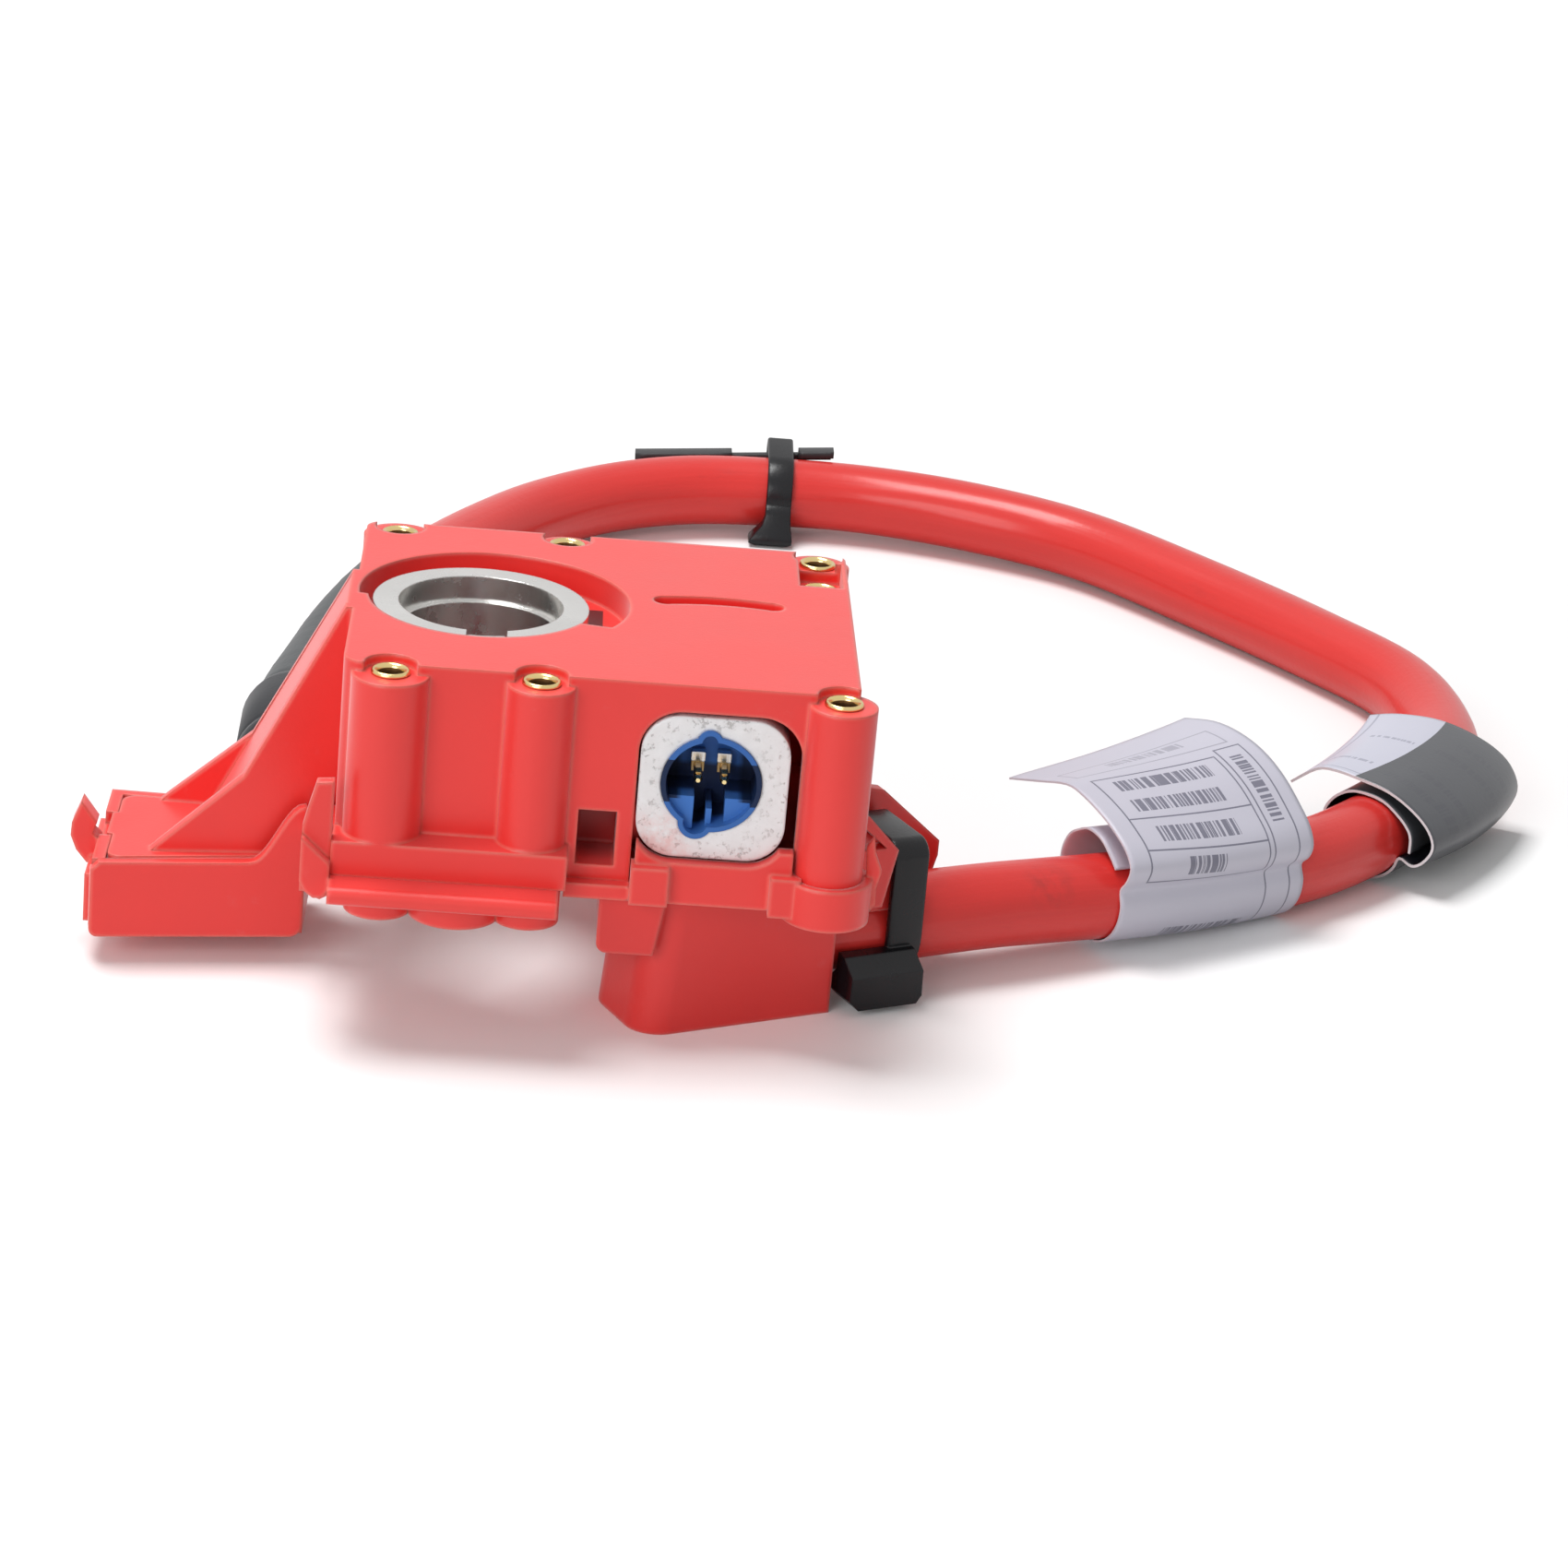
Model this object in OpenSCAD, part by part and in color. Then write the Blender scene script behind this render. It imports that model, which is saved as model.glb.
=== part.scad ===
// Fused battery cable: post clamp, pyrotechnic fuse and riveted housing, with its power cable.
// Origin: centre of the clamp ring's lower face. +Z up along the battery post, +Y away from the fuse socket.

/* [Clamp] */
// Bore of the clamp where it grips the post
bore_d = 18.4; // [17.0:0.1:19.5]
// Outside of the clamp ring
ring_d = 25.8; // [24.0:0.1:28.0]
// Height of the clamp ring
ring_h = 20; // [15:0.5:22]
// Width of the slit in the ring
slit_w = 4.8; // [2:0.1:6]

/* [Housing] */
// Length of the riveted housing, left to right
body_l = 59.6; // [56:0.1:64]
// Depth of the riveted housing, front wall to back wall
body_w = 51.6; // [50:0.1:56]
// Top face above the clamp ring
top_z = 0.6; // [0.4:0.1:2]
// Thickness of the walls
wall = 2; // [1.6:0.1:2.4]
// Radius of the front rivet columns
column_r = 4; // [3.6:0.1:4.4]
// Width of the flange under the front columns
flange_w = 3.3; // [3:0.1:5]

/* [Fuse] */
// Width of the cast fuse body
fuse_w = 17.3; // [16:0.1:19]
// Height of the cast fuse body
fuse_h = 17.3; // [16:0.1:18.5]
// Diameter of the igniter socket
socket_d = 11.7; // [10:0.1:12.5]
// Distance between the two contact pins
pin_pitch = 3.05; // [2.5:0.05:3.5]

/* [Rivets] */
// Outside of the hollow rivets' rims
rivet_d = 4.6; // [4:0.1:5]
// Hole through the hollow rivets
rivet_hole_d = 2.3; // [1.6:0.1:2.6]

/* [Side arm] */
// How far the arm reaches left of the post
arm_reach = 42.2; // [38:0.1:46]
// Depth of the guard tray below its rim
tray_h = 9.6; // [8:0.1:11]

/* [Cable] */
// Outside diameter of the power cable
cable_d = 10.8; // [9:0.1:11.4]
// Direction in which the cable leaves the housing
exit_angle = 26.4; // [26:0.1:27]
// Width of the tie on the housing
tie_w = 4.8; // [3.6:0.1:5.2]

/* [Hidden] */
$fn = 48;
eps = 0.01;
x0 = -15;
x1 = x0 + body_l;
y0 = -25;
y1 = y0 + body_w;
ledge_z = -20;
base_z = -24.2;
floor_t = 1.8;
under_z = base_z - floor_t;
ground_z = -44;
seat_z = top_z - 1.2;
bore_r = bore_d / 2;
ring_r = ring_d / 2;
front_rivets = [[x0 + 5.5, -24.8], [x0 + 22.8, -24.8], [x1 - 2, -24.8]];
back_rivets = [[x0 + 4.1, y1 - 1.3], [x0 + 24.9, y1 - 1.3], [x1 - 3.4, y1 - 1.5]];
low_rivet = [x1 - 3.1, y1 - 7.2];
low_seat_z = seat_z - 1.5;
rivets = concat(front_rivets, back_rivets);
rivet_foot_z = -29.7;
loop_z = -26.9;
slot_cx = x1 - 15.4;
fuse_cx = x1 - 16.2;
fuse_cz = -11.8;
fuse_front = -25.4;
bar_y0 = -13.2;
bar_t = 2.4;
bar_rivet_x = fuse_cx - 12.4;
bar_rivet_z = [-14, -8];
bolt_y = -16.1;
socket_cx = fuse_cx - 0.28;
socket_cz = fuse_cz + 0.6;
tray_x0 = -arm_reach - 1.6;
tray_x1 = x0 - 3.8;
tray_flare = atan2(4.3, tray_x1 - tray_x0);
hood_p = [x1 - 24.5, -18.1];
hood_l = 24.3;
hood_h0 = -6.9;
hood_h1 = 6.9;
hood_wall = 1.2;
hood_in = hood_l - 3.5;
seal_r = 6.2;
cable_z = -36;
cable_r = cable_d / 2;
// Section of the saddle across the cable
saddle_section = [[-5, -32.5], [-5, -26.2], [-4, -24.7], [3.9, -24.7], [4.9, -26.2], [4.9, -32.5]];
// Where the cable's axis passes inside the hood and the saddle
function hood_axis(s, z) = [hood_p[0] + s * cos(exit_angle), hood_p[1] + s * sin(exit_angle), z];
// Route of the cable's axis as it lies on the ground, from the terminal round to the far connector
route = [
  hood_axis(hood_in - 2.2, cable_z), hood_axis(hood_l + 0.2, cable_z), hood_axis(hood_l + 22.7, cable_z), [72, 8, -36.5],
  [81, 12.8, -37], [94.5, 21.5, -37.9], [108, 31.5, -38.1], [117, 41, -38.05], [125.5, 53, -38.05],
  [131.5, 66.5, -38.1], [134.5, 84, -38.6], [132, 103, -38.6], [122, 120, -38.6], [107, 139.5, -38.4],
  [91, 157, -38], [74, 166.2, -37.6], [57, 171, -37.5], [42, 171.3, -37.5], [29, 169.4, -37.6],
  [17, 163.4, -37.9], [6.5, 153.5, -38.3], [-2, 140.5, -38.5], [-8.5, 127, -38.3], [-14, 112, -37.8],
  [-18.5, 94, -37.7], [-21.5, 76, -37.6], [-24, 56, -37], [-24, 38, -37]
];
band_y = y0 - 4.3;
// Stations of the route at which each label starts and ends, in steps between the route's points
label_1 = [3.8, 4, 5, 5.65];
label_2 = [7.1, 8, 9];
sleeve_first = 23;
clip_x = 43.3;
clip_y = 171.25;
clip_z = -37.5;
clip_l = 31.4;
// Both labels are wrapped round the cable and end in a loose flag that curls over it: their left ends, then their right
label_wrap_r = cable_r + 0.3;
function wrap_arc(a, b) = [for (k = [0:1:8]) label_wrap_r * [cos(a + (b - a) * k / 8), sin(a + (b - a) * k / 8)]];
loop_1 = [[-3.4, 4.9], [-1.7, 6.2], [0.6, 7.5], [3.3, 7.8], [5.3, 7], [7.2, 5.6], [8.2, 3], [7.6, 0.2], [6.2, -2.4]];
flag_1_left = concat(loop_1, wrap_arc(-45, -208), [[-6, 4.2], [-6.4, 6.1], [-4.9, 7.9], [-1.9, 9.4], [1.4, 10.5], [5.7, 11.4], [9.4, 11.5], [15.6, 9.6], [21.6, 7.7]]);
flag_1_right = concat(loop_1, wrap_arc(-45, -208), [[-6.2, 4.1], [-6.6, 5.9], [-5.6, 8], [-3.6, 10], [0.1, 12.9], [4.3, 14.9], [8.8, 15.8], [13.5, 15.7], [18.9, 14.3]]);
loop_2 = [[-6.8, -0.4], [-6.7, 1.6], [-6, 2.9], [-4.3, 4.3], [-2, 5.5], [0.8, 5.8], [3.2, 5.4], [5.4, 3.8], [6.5, 1.3]];
flag_2_left = concat(loop_2, wrap_arc(-20, -165), [[-7.4, -2], [-9, -1], [-10.1, 1.2], [-9.2, 3.4], [-6.6, 5.4], [-2.6, 7], [2.2, 7.5], [5.6, 7.6], [8.4, 7], [12, 4.1]]);
flag_2_right = concat(loop_2, wrap_arc(-20, -165), [[-8.4, -3.9], [-10.4, -1.9], [-10.9, 0.6], [-9.5, 3.4], [-6.9, 5.5], [-3.2, 7.1], [0.6, 8], [6.7, 7.9], [11.4, 6.7], [15.9, 3.5]]);
function unit(v) = v / norm(v);
// Place and direction of the route at station i, which may lie between two points, and the axes across it: left and up
function blended(a, b, t) = a * (1 - t) + b * t;
function route_at(i) = blended(route[floor(i)], route[min(floor(i) + 1, len(route) - 1)], i - floor(i));
function ahead_of(k) = unit(route[min(k + 1, len(route) - 1)] - route[max(k - 1, 0)]);
function ahead(i) = unit(blended(ahead_of(floor(i)), ahead_of(min(floor(i) + 1, len(route) - 1)), i - floor(i)));
function leftward(i) = unit(cross([0, 0, 1], ahead(i)));
function upward(i) = cross(ahead(i), leftward(i));
function placed(i, q) = route_at(i) + leftward(i) * q[0] + upward(i) * q[1];
function circle_points(r, n) = [for (k = [0:n - 1]) r * [cos(360 * k / n), sin(360 * k / n)]];
// A strip of thickness t round an open line of points, as one closed outline
function edge_normal(c, k) = let (d = unit(c[min(k + 1, len(c) - 1)] - c[max(k - 1, 0)])) [-d[1], d[0]];
function strip(c, t) = concat([for (k = [0:len(c) - 1]) c[k] + edge_normal(c, k) * t / 2], [for (k = [len(c) - 1:-1:0]) c[k] - edge_normal(c, k) * t / 2]);

// Heights are measured from the ring's top face; the part's frame has its origin at the lower one
module lifted() {
  translate([0, 0, ring_h]) children();
}

// Shared 2D and 3D shapes
module rounded_rect(w, h, r) {
  translate([r - w / 2, -h / 2]) square([w - 2 * r, h]);
  translate([-w / 2, r - h / 2]) square([w, h - 2 * r]);
  for (sx = [-1, 1], sy = [-1, 1]) {
    translate([sx * (w / 2 - r), sy * (h / 2 - r)]) circle(r);
  }
}

// A plate standing in the XZ plane: the 2D shape's x and y become x and z
module upright(ya, yb) {
  translate([0, yb, 0]) rotate([90, 0, 0]) linear_extrude(yb - ya) children();
}

// Moves children into the cable's own frame: x along the cable, y to its left
module along_cable() {
  translate([hood_p[0], hood_p[1], 0]) rotate([0, 0, exit_angle]) children();
}

// A disc along X between two stations
module rod_x(xa, xb, r) {
  translate([xa, 0, 0]) rotate([0, 90, 0]) cylinder(h = xb - xa, r = r);
}

module tube(h, ro, ri) {
  difference() {
    cylinder(h = h, r = ro);
    translate([0, 0, -1]) cylinder(h = h + 2, r = ri);
  }
}

module body_outline(inset) {
  translate([(x0 + x1) / 2, (y0 + y1) / 2]) rounded_rect(body_l - 2 * inset, body_w - 2 * inset, max(2.4 - inset, 0.5));
}

// Opening of the top face round the clamp ring: a wide arc behind, a close arc in front
module well_outline(r_wide, r_close) {
  circle(r_close);
  intersection() {
    translate([1.6, 1]) circle(r_wide);
    translate([0, -3.9]) rotate([0, 0, -11.5]) translate([-30, 0]) square([60, 40]);
  }
}

// The arm's side profile in the XZ plane, from the top face down to the plate
module arm_side() {
  polygon([[x0 + 0.5, top_z], [x0 - 0.7, top_z], [-26.8, -21.2], [-36.7, -30.1], [-37.6, -30.98], [x0 - 0.1, -30.98], [x0 - 0.1, base_z], [x0 + 0.5, base_z]]);
}

module arm_web_line() {
  polygon([[x0 + 0.2, top_z], [x0 - 0.7, top_z], [-31.6, -31], [-29.4, -31], [x0 + 0.2, -3.6]]);
}

// Plate of the arm inside the tray's rim, with rounded corners at its left end
module plate_plan() {
  polygon([[tray_x1 - 1.8, -8], [1.5 - arm_reach, -12], [-arm_reach, -10.6], [-arm_reach, 6], [2 - arm_reach, 7.9], [tray_x1 - 1.8, 7.3]]);
  translate([1.5 - arm_reach, -10.5]) circle(1.5);
  translate([2 - arm_reach, 5.9]) circle(2);
  // tongue under the snap hook
  translate([-arm_reach - 0.7, -5]) square([1, 7]);
}

module arm() {
  // front rib, flaring to the front as it goes left
  translate([x0, -6.5, 0]) rotate([0, 0, 8]) translate([-x0, 0, 0]) upright(0, 1.6) arm_side();
  // rear rib, flaring to the back
  translate([x0, 7.4, 0]) rotate([0, 0, -2.5]) translate([-x0, 0, 0]) upright(-1.6, 0) arm_side();
  // sloping web between the ribs
  upright(-6.2, 7.2) arm_web_line();
  // flat plate that lies in the guard tray
  translate([0, 0, -32.4]) linear_extrude(1.5) plate_plan();
}

module upper_shell() {
  color([0.86, 0.2, 0.18]) lifted() difference() {
    union() {
      // box with its top plate
      difference() {
        translate([0, 0, base_z]) linear_extrude(top_z - base_z) body_outline(0);
        translate([0, 0, base_z - 1]) linear_extrude(top_z - 2.4 - base_z + 1) body_outline(wall);
      }
      // rivet columns
      for (p = rivets) {
        translate([p[0], p[1], base_z]) cylinder(h = seat_z - base_z, r = p[0] < -9 ? column_r + 0.5 : column_r);
      }
      translate([low_rivet[0], low_rivet[1], base_z]) cylinder(h = low_seat_z - base_z, r = 3);
      // band in the plane of the columns under the recessed panel
      translate([x0, band_y, base_z]) cube([27.2, 5.3, ledge_z - base_z]);
      // wall of the well round the clamp
      translate([0, 0, -4.6]) linear_extrude(top_z + 4.6 - 1) difference() {
        intersection() {
          well_outline(17.8, 15.1);
          body_outline(1);
        }
        well_outline(16.2, 13.5);
      }
      // floor of the well
      translate([0, 0, -4.6]) linear_extrude(1.6) difference() {
        intersection() {
          well_outline(17.8, 15.1);
          body_outline(1);
        }
        circle(13.5);
      }
      // pads that hold the fuse body's top
      translate([fuse_cx - 9.2, -24, -3]) cube([19.2, 10, 2]);
      // back of the window in the front wall
      translate([fuse_cx - 16.2, y0 + 0.5, base_z]) cube([6.6, 8, 9.8]);
      arm();
    }
    // well opening through the top plate
    translate([0, 0, -3]) linear_extrude(6) well_outline(16.2, 13.5);
    // gap in the well's wall where the bus bar leaves
    translate([11, -6.8, -6]) cube([8, 8.6, 5.2]);
    // notches round the rivet seats
    for (p = rivets) {
      translate([p[0], p[1], seat_z]) cylinder(h = 5, r = 3.1);
      translate([p[0], p[1], base_z - 1]) cylinder(h = 40, r = 1.7);
    }
    // pocket of the two rivets at the back right
    translate([x1 - 6, 13.6, low_seat_z]) cube([5.4, 9.2, 6]);
    translate([x1 - 6, 22, seat_z]) cube([3.6, 6, 6]);
    translate([low_rivet[0], low_rivet[1], base_z - 1]) cylinder(h = 40, r = 1.7);
    // curved slot in the top face
    translate([slot_cx, -22.4, top_z - 1.6]) rotate([0, 0, 78]) rotate_extrude(angle = 27) translate([26.3, 0]) square([2.8, 4]);
    translate([slot_cx + 27.7 * cos(78), -22.4 + 27.7 * sin(78), top_z - 1.6]) cylinder(h = 4, r = 1.45);
    translate([slot_cx + 27.7 * cos(105), -22.4 + 27.7 * sin(105), top_z - 1.6]) cylinder(h = 4, r = 1.45);
    // window in the front wall
    translate([fuse_cx - 15.3, y0 - 1, -22.4]) cube([4.5, 8.2, 6.8]);
    // opening for the fuse body, open at the bottom
    upright(y0 - 1, y0 + wall + 1) {
      translate([fuse_cx + 0.55, fuse_cz]) rounded_rect(fuse_w + 1.6, fuse_h + 0.8, 5);
      translate([fuse_cx + 0.55 - (fuse_w + 1.6) / 2, base_z - 1]) square([fuse_w + 1.6, fuse_cz - base_z + 1]);
    }
    // passage from the box into the hollow arm
    translate([x0 - 1, -5.4, -23]) cube([wall + 2, 11.4, 17]);
  }
}

module lower_shell() {
  color([0.86, 0.22, 0.2]) lifted() difference() {
    union() {
      translate([0, 0, under_z]) linear_extrude(floor_t) body_outline(0);
      // flange under the front columns, with its rolled lip
      translate([x0, band_y - flange_w, under_z]) cube([26.4, y0 - band_y + flange_w + 1, floor_t]);
      translate([x0, band_y - flange_w, under_z + 0.7]) rod_x(0, 26.4, 1.1);
      // bosses under the rivets
      for (p = rivets) {
        if (p != front_rivets[2]) translate([p[0], p[1], rivet_foot_z]) cylinder(h = under_z - rivet_foot_z + 0.5, r = 3.9);
      }
      translate([low_rivet[0], low_rivet[1], rivet_foot_z]) cylinder(h = under_z - rivet_foot_z + 0.5, r = 3);
      translate([-0.6, -24.6, rivet_foot_z]) cylinder(h = under_z - rivet_foot_z + 0.5, r = 5.4);
      // strip under the window, with its sill
      translate([fuse_cx - 16.4, y0 - 1.6, under_z]) cube([7.6, 3, floor_t]);
      // band under the fuse body
      upright(y0 - 1.8, y0 + 0.2) difference() {
        translate([fuse_cx - 8.4, -25.9]) square([18.3, 7.2]);
        translate([fuse_cx, fuse_cz]) rounded_rect(fuse_w + 0.7, fuse_h + 0.7, 4.8);
      }
      // clip block and end block on the band
      translate([fuse_cx - 8.8, y0 - 3.2, -25.8]) cube([4.5, 3.15, 4.6]);
      translate([fuse_cx + 7.4, y0 - 3.2, -26.2]) cube([3.6, 3.4, 4.8]);
      // collar round the right front column
      translate([front_rivets[2][0], front_rivets[2][1], loop_z]) cylinder(h = 5.1, r = 5.2);
      // moulding flash left standing beside the collar
      translate([front_rivets[2][0], 0, 0]) upright(-24.4, -23.6) polygon([[4.4, -26.1], [4.5, -21], [4.3, -18.2], [5.1, -16.7], [5.4, -18.8], [6.3, -21], [5.8, -23.2], [5.9, -25.2], [5.2, -26.3]]);
      // bracket at the left end, its lower part thicker
      translate([x0, 0, 0]) upright(-28.9, -27.2) polygon([[-2, -13.1], [0, -12.9], [0, -26.9], [-1, -27.5], [-2.5, -26.9], [-3.4, -24.5], [-3.4, -18.6], [-2.8, -16.1]]);
      translate([x0, 0, 0]) upright(-30.3, -28.8) polygon([[-3.4, -19.4], [0, -22.5], [0, -25.6], [-0.6, -26.7], [-1.7, -26.8], [-2.8, -26], [-3.4, -24.8]]);
      translate([x0 - 3.4, -28.9, -26.6]) cube([1.7, 21.4, 4]);
      translate([x0 - 3.4, -14, under_z]) cube([4, 6.5, floor_t]);
    }
    // the right front column stands in its collar
    translate([front_rivets[2][0], front_rivets[2][1], base_z]) cylinder(h = 5, r = column_r + 0.02);
    translate([x1 - 10.6, y0, base_z]) cube([10.62, 8, 5]);
    // opening for the battery post
    translate([0, 0, under_z - 1]) cylinder(h = 4, r = 14.4);
    // opening into the cable hood
    along_cable() translate([1.5, hood_h0 + hood_wall, under_z - 1]) cube([hood_in - 1.5, hood_h1 - hood_h0 - 2 * hood_wall, 4]);
    for (p = rivets) {
      translate([p[0], p[1], -40]) cylinder(h = 30, r = 1.7);
    }
    translate([low_rivet[0], low_rivet[1], -40]) cylinder(h = 30, r = 1.7);
  }
}

// Plan of the guard tray: it widens to the left like the arm
module tray_plan(inset) {
  polygon([[tray_x1 - inset, -9.9 + inset * 1.1], [tray_x0 + inset, -14.2 + inset * 1.1], [tray_x0 + inset, 9.6 - inset], [tray_x1 - inset, 9 - inset]]);
}

// The tray's front wall seen from the front: rounded below, swept up at its end in an ogee
module tray_front() {
  length = (tray_x1 - tray_x0) / cos(tray_flare);
  ogee = [for (t = [0:0.1:1]) [length - 0.3 - 6.2 * t, 3.55 * (1 + cos(180 * t))]];
  polygon(concat([[0, -1], [0, 1.5 - tray_h], [length, 1.5 - tray_h], [length, 7.1]], ogee, [[length - 7.4, -0.05], [1, -0.05]]));
  translate([1, -tray_h]) square([length - 2.5, 3]);
  translate([1.05, 1.05 - tray_h]) circle(1.05);
  translate([length - 1.5, 1.5 - tray_h]) circle(1.5);
}

module guard_tray() {
  color([0.85, 0.23, 0.21]) lifted() union() {
    difference() {
      translate([0, 0, -31 - tray_h]) linear_extrude(tray_h) tray_plan(0);
      translate([0, 0, -31 - tray_h + 1.6]) linear_extrude(tray_h) tray_plan(1.5);
      // slot for the tongue of the arm's plate
      translate([tray_x0 - 0.1, -5.2, -32.6]) cube([1.8, 7.4, 2]);
      // the front wall is a shape of its own
      translate([tray_x0, -14.2, -32 - tray_h]) rotate([0, 0, tray_flare]) translate([-5, -2, 0]) cube([60, 3.2, tray_h + 2]);
    }
    translate([tray_x0, -14.2, -31]) rotate([0, 0, tray_flare]) upright(0, 1.5) tray_front();
    // panel on the left wall, with the snap hook that holds the arm's plate
    translate([tray_x0 - 0.9, -12.2, -39.4]) cube([1.5, 18, 6]);
    translate([tray_x0, 0, 0]) upright(-6.2, -3.4) polygon([[0.2, -34.4], [-1.3, -34.4], [-2.6, -32.8], [-3.3, -31], [-3.2, -29.4], [-2.1, -26.6], [-0.2, -29.2], [-0.7, -30.6], [0.2, -31.4]]);
  }
}

// Plan of the leaning hood, its left corners rounded, its right end beyond the hood's
module hood_plan() {
  width = hood_h1 - hood_h0 + 0.4;
  translate([hood_l, width / 2]) rounded_rect(2 * hood_l, width, 4);
}

// Skirt in front of the hood's left end, rounded at its lower corner
module skirt() {
  rotate([0, 0, -exit_angle]) translate([-hood_p[0], -hood_p[1], 0]) intersection() {
    upright(-25, -12) translate([hood_p[0], 0]) {
      polygon([[-3.8, under_z + 0.5], [4.1, under_z + 0.5], [2.9, -33.4], [-2.6, -33.4], [-3.8, -32.2]]);
      translate([-2.6, -32.2]) circle(1.19);
    }
    translate([hood_p[0], 0, -40]) linear_extrude(20) polygon([[-4, -25], [4.2, -25], [4.2, -22.5], [-1, -12.2], [-4, -12.2]]);
  }
}

module cable_hood() {
  color([0.8, 0.21, 0.2]) lifted() along_cable() difference() {
    difference() {
      union() {
        // its front left corner leans out towards the ground
        intersection() {
          translate([-5, hood_h0 - 2, ground_z]) cube([hood_l + 5, hood_h1 - hood_h0 + 4, under_z - ground_z + 0.5]);
          translate([-1.2, hood_h0 - 0.4, ground_z]) rotate([0, 4.6, 0]) translate([0, 0, -5]) linear_extrude(30) hood_plan();
        }
        skirt();
        // saddle on the cable, with the trough behind the front flange
        difference() {
          translate([hood_l - 0.5, 0, 0]) rotate([90, 0, 90]) linear_extrude(13.2) polygon(saddle_section);
          translate([hood_l - 2, -5, -28.8]) cube([7.6, 8.4, 8]);
        }
        // front flange
        upright(-7.1, -5) difference() {
          polygon([[hood_l - 0.5, -31], [hood_l + 6.1, -31], [hood_l + 7.7, -23.8], [hood_l + 3.2, -19], [hood_l + 1.6, -18.5], [hood_l - 0.5, -19.4]]);
          polygon([[hood_l + 2.7, -20.4], [hood_l + 6, -23.4], [hood_l + 2.7, -23.4]]);
        }
        // rear flange, joined to the saddle beside the housing
        upright(6.8, 8.6) polygon([[hood_l - 0.5, -34.6], [hood_l + 21, -34.6], [hood_l + 21.9, -31.6], [hood_l + 21.9, -29.6], [hood_l + 13.3, -22], [hood_l + 11.5, -21.6], [hood_l - 0.5, -24.6]]);
        translate([hood_l - 0.5, 4, -32.5]) cube([6.5, 3.4, 5]);
      }
      // inside of the hood, then the seat of the cable seal
      translate([1.5, hood_h0 + hood_wall, ground_z + 1.5]) cube([hood_in - 1.5, hood_h1 - hood_h0 - 2 * hood_wall, 40]);
      translate([0, 0, cable_z]) rod_x(hood_in - 1, hood_in + 2.3, seal_r);
      // cable outlet
      translate([0, 0, cable_z]) rod_x(hood_l - 3, hood_l + 36, cable_r + 0.05);
    }
    // the housing stands over it, up to its right wall
    rotate([0, 0, -exit_angle]) translate([-hood_p[0], -hood_p[1], 0]) translate([0, -60, under_z]) cube([x1 + 0.1, 120, 20]);
  }
}

module battery_clamp() {
  color([0.82, 0.83, 0.85]) lifted() difference() {
    union() {
      translate([0, 0, -ring_h]) cylinder(h = ring_h, r = ring_r);
      // ears of the pinch bolt
      translate([-7, -20.5, -15]) cube([12, 12, 10]);
      // tail that carries the bus bar
      translate([7, bar_y0 + bar_t, -17]) cube([fuse_cx - 14.4, bar_t, 12]);
    }
    translate([0, 0, -ring_h - 1]) cylinder(h = ring_h + 2, r = bore_r);
    translate([0, 0, -3.1]) cylinder(h = 5, r = bore_r + 0.65);
    // slit at the front
    translate([-1.4, -24, -ring_h - 1]) cube([slit_w, 24 - bore_r + 1, ring_h + 2]);
    // hole of the pinch bolt
    translate([0, bolt_y, -10]) rod_x(-10, 10, 2.6);
    // holes of the bar rivets
    for (z = bar_rivet_z) {
      translate([bar_rivet_x, bar_y0 - 1, z]) rotate([-90, 0, 0]) cylinder(h = 8, r = 1.25);
    }
  }
}

module hex_x(xa, xb, across) {
  translate([xa, 0, 0]) rotate([0, 90, 0]) cylinder(h = xb - xa, r = across / 2 / cos(30), $fn = 6);
}

module clamp_bolt() {
  color([0.75, 0.76, 0.78]) lifted() translate([0, bolt_y, -10]) {
    rod_x(-9.5, 5, 2.5);
    hex_x(5, 8.6, 8);
  }
}

module clamp_nut() {
  color([0.72, 0.73, 0.75]) lifted() translate([0, bolt_y, -10]) difference() {
    hex_x(-9, -7, 8);
    rod_x(-10, -6, 2.5);
  }
}

module bus_bar() {
  color([0.78, 0.74, 0.66]) lifted() difference() {
    union() {
      upright(bar_y0, bar_y0 + bar_t) polygon([[bar_rivet_x - 4, -17], [bar_rivet_x - 4, -5], [fuse_cx + 8.05, -5], [fuse_cx + 8.05, -17], [hood_p[0] + 8.9, -17], [hood_p[0] + 8.9, -33.6], [hood_p[0] + 3.4, -33.6], [hood_p[0] + 3.4, -17]]);
      // foot on the cable terminal
      along_cable() translate([2.6, -3.6, -35.2]) cube([8, 8, 1.8]);
    }
    for (z = bar_rivet_z) {
      translate([bar_rivet_x, bar_y0 - 1, z]) rotate([-90, 0, 0]) cylinder(h = 8, r = 1.25);
    }
  }
}

module bar_rivets() {
  color([0.75, 0.72, 0.62]) lifted() for (z = bar_rivet_z) {
    translate([bar_rivet_x, bar_y0, z]) rotate([-90, 0, 0]) {
      cylinder(h = 2 * bar_t, r = 1.25);
      translate([0, 0, -1]) cylinder(h = 1, r = 1.9);
      translate([0, 0, 2 * bar_t]) cylinder(h = 1, r = 1.9);
    }
  }
}

module fuse_body() {
  color([0.86, 0.86, 0.86]) lifted() difference() {
    upright(fuse_front, bar_y0) translate([fuse_cx, fuse_cz]) rounded_rect(fuse_w, fuse_h, 4.5);
    upright(fuse_front - 1, bar_y0 - 3.8) translate([socket_cx, socket_cz]) socket_outline(0.02);
    upright(fuse_front - 1, bar_y0 + 1) translate([socket_cx, socket_cz]) circle(3.6);
  }
}

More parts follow.
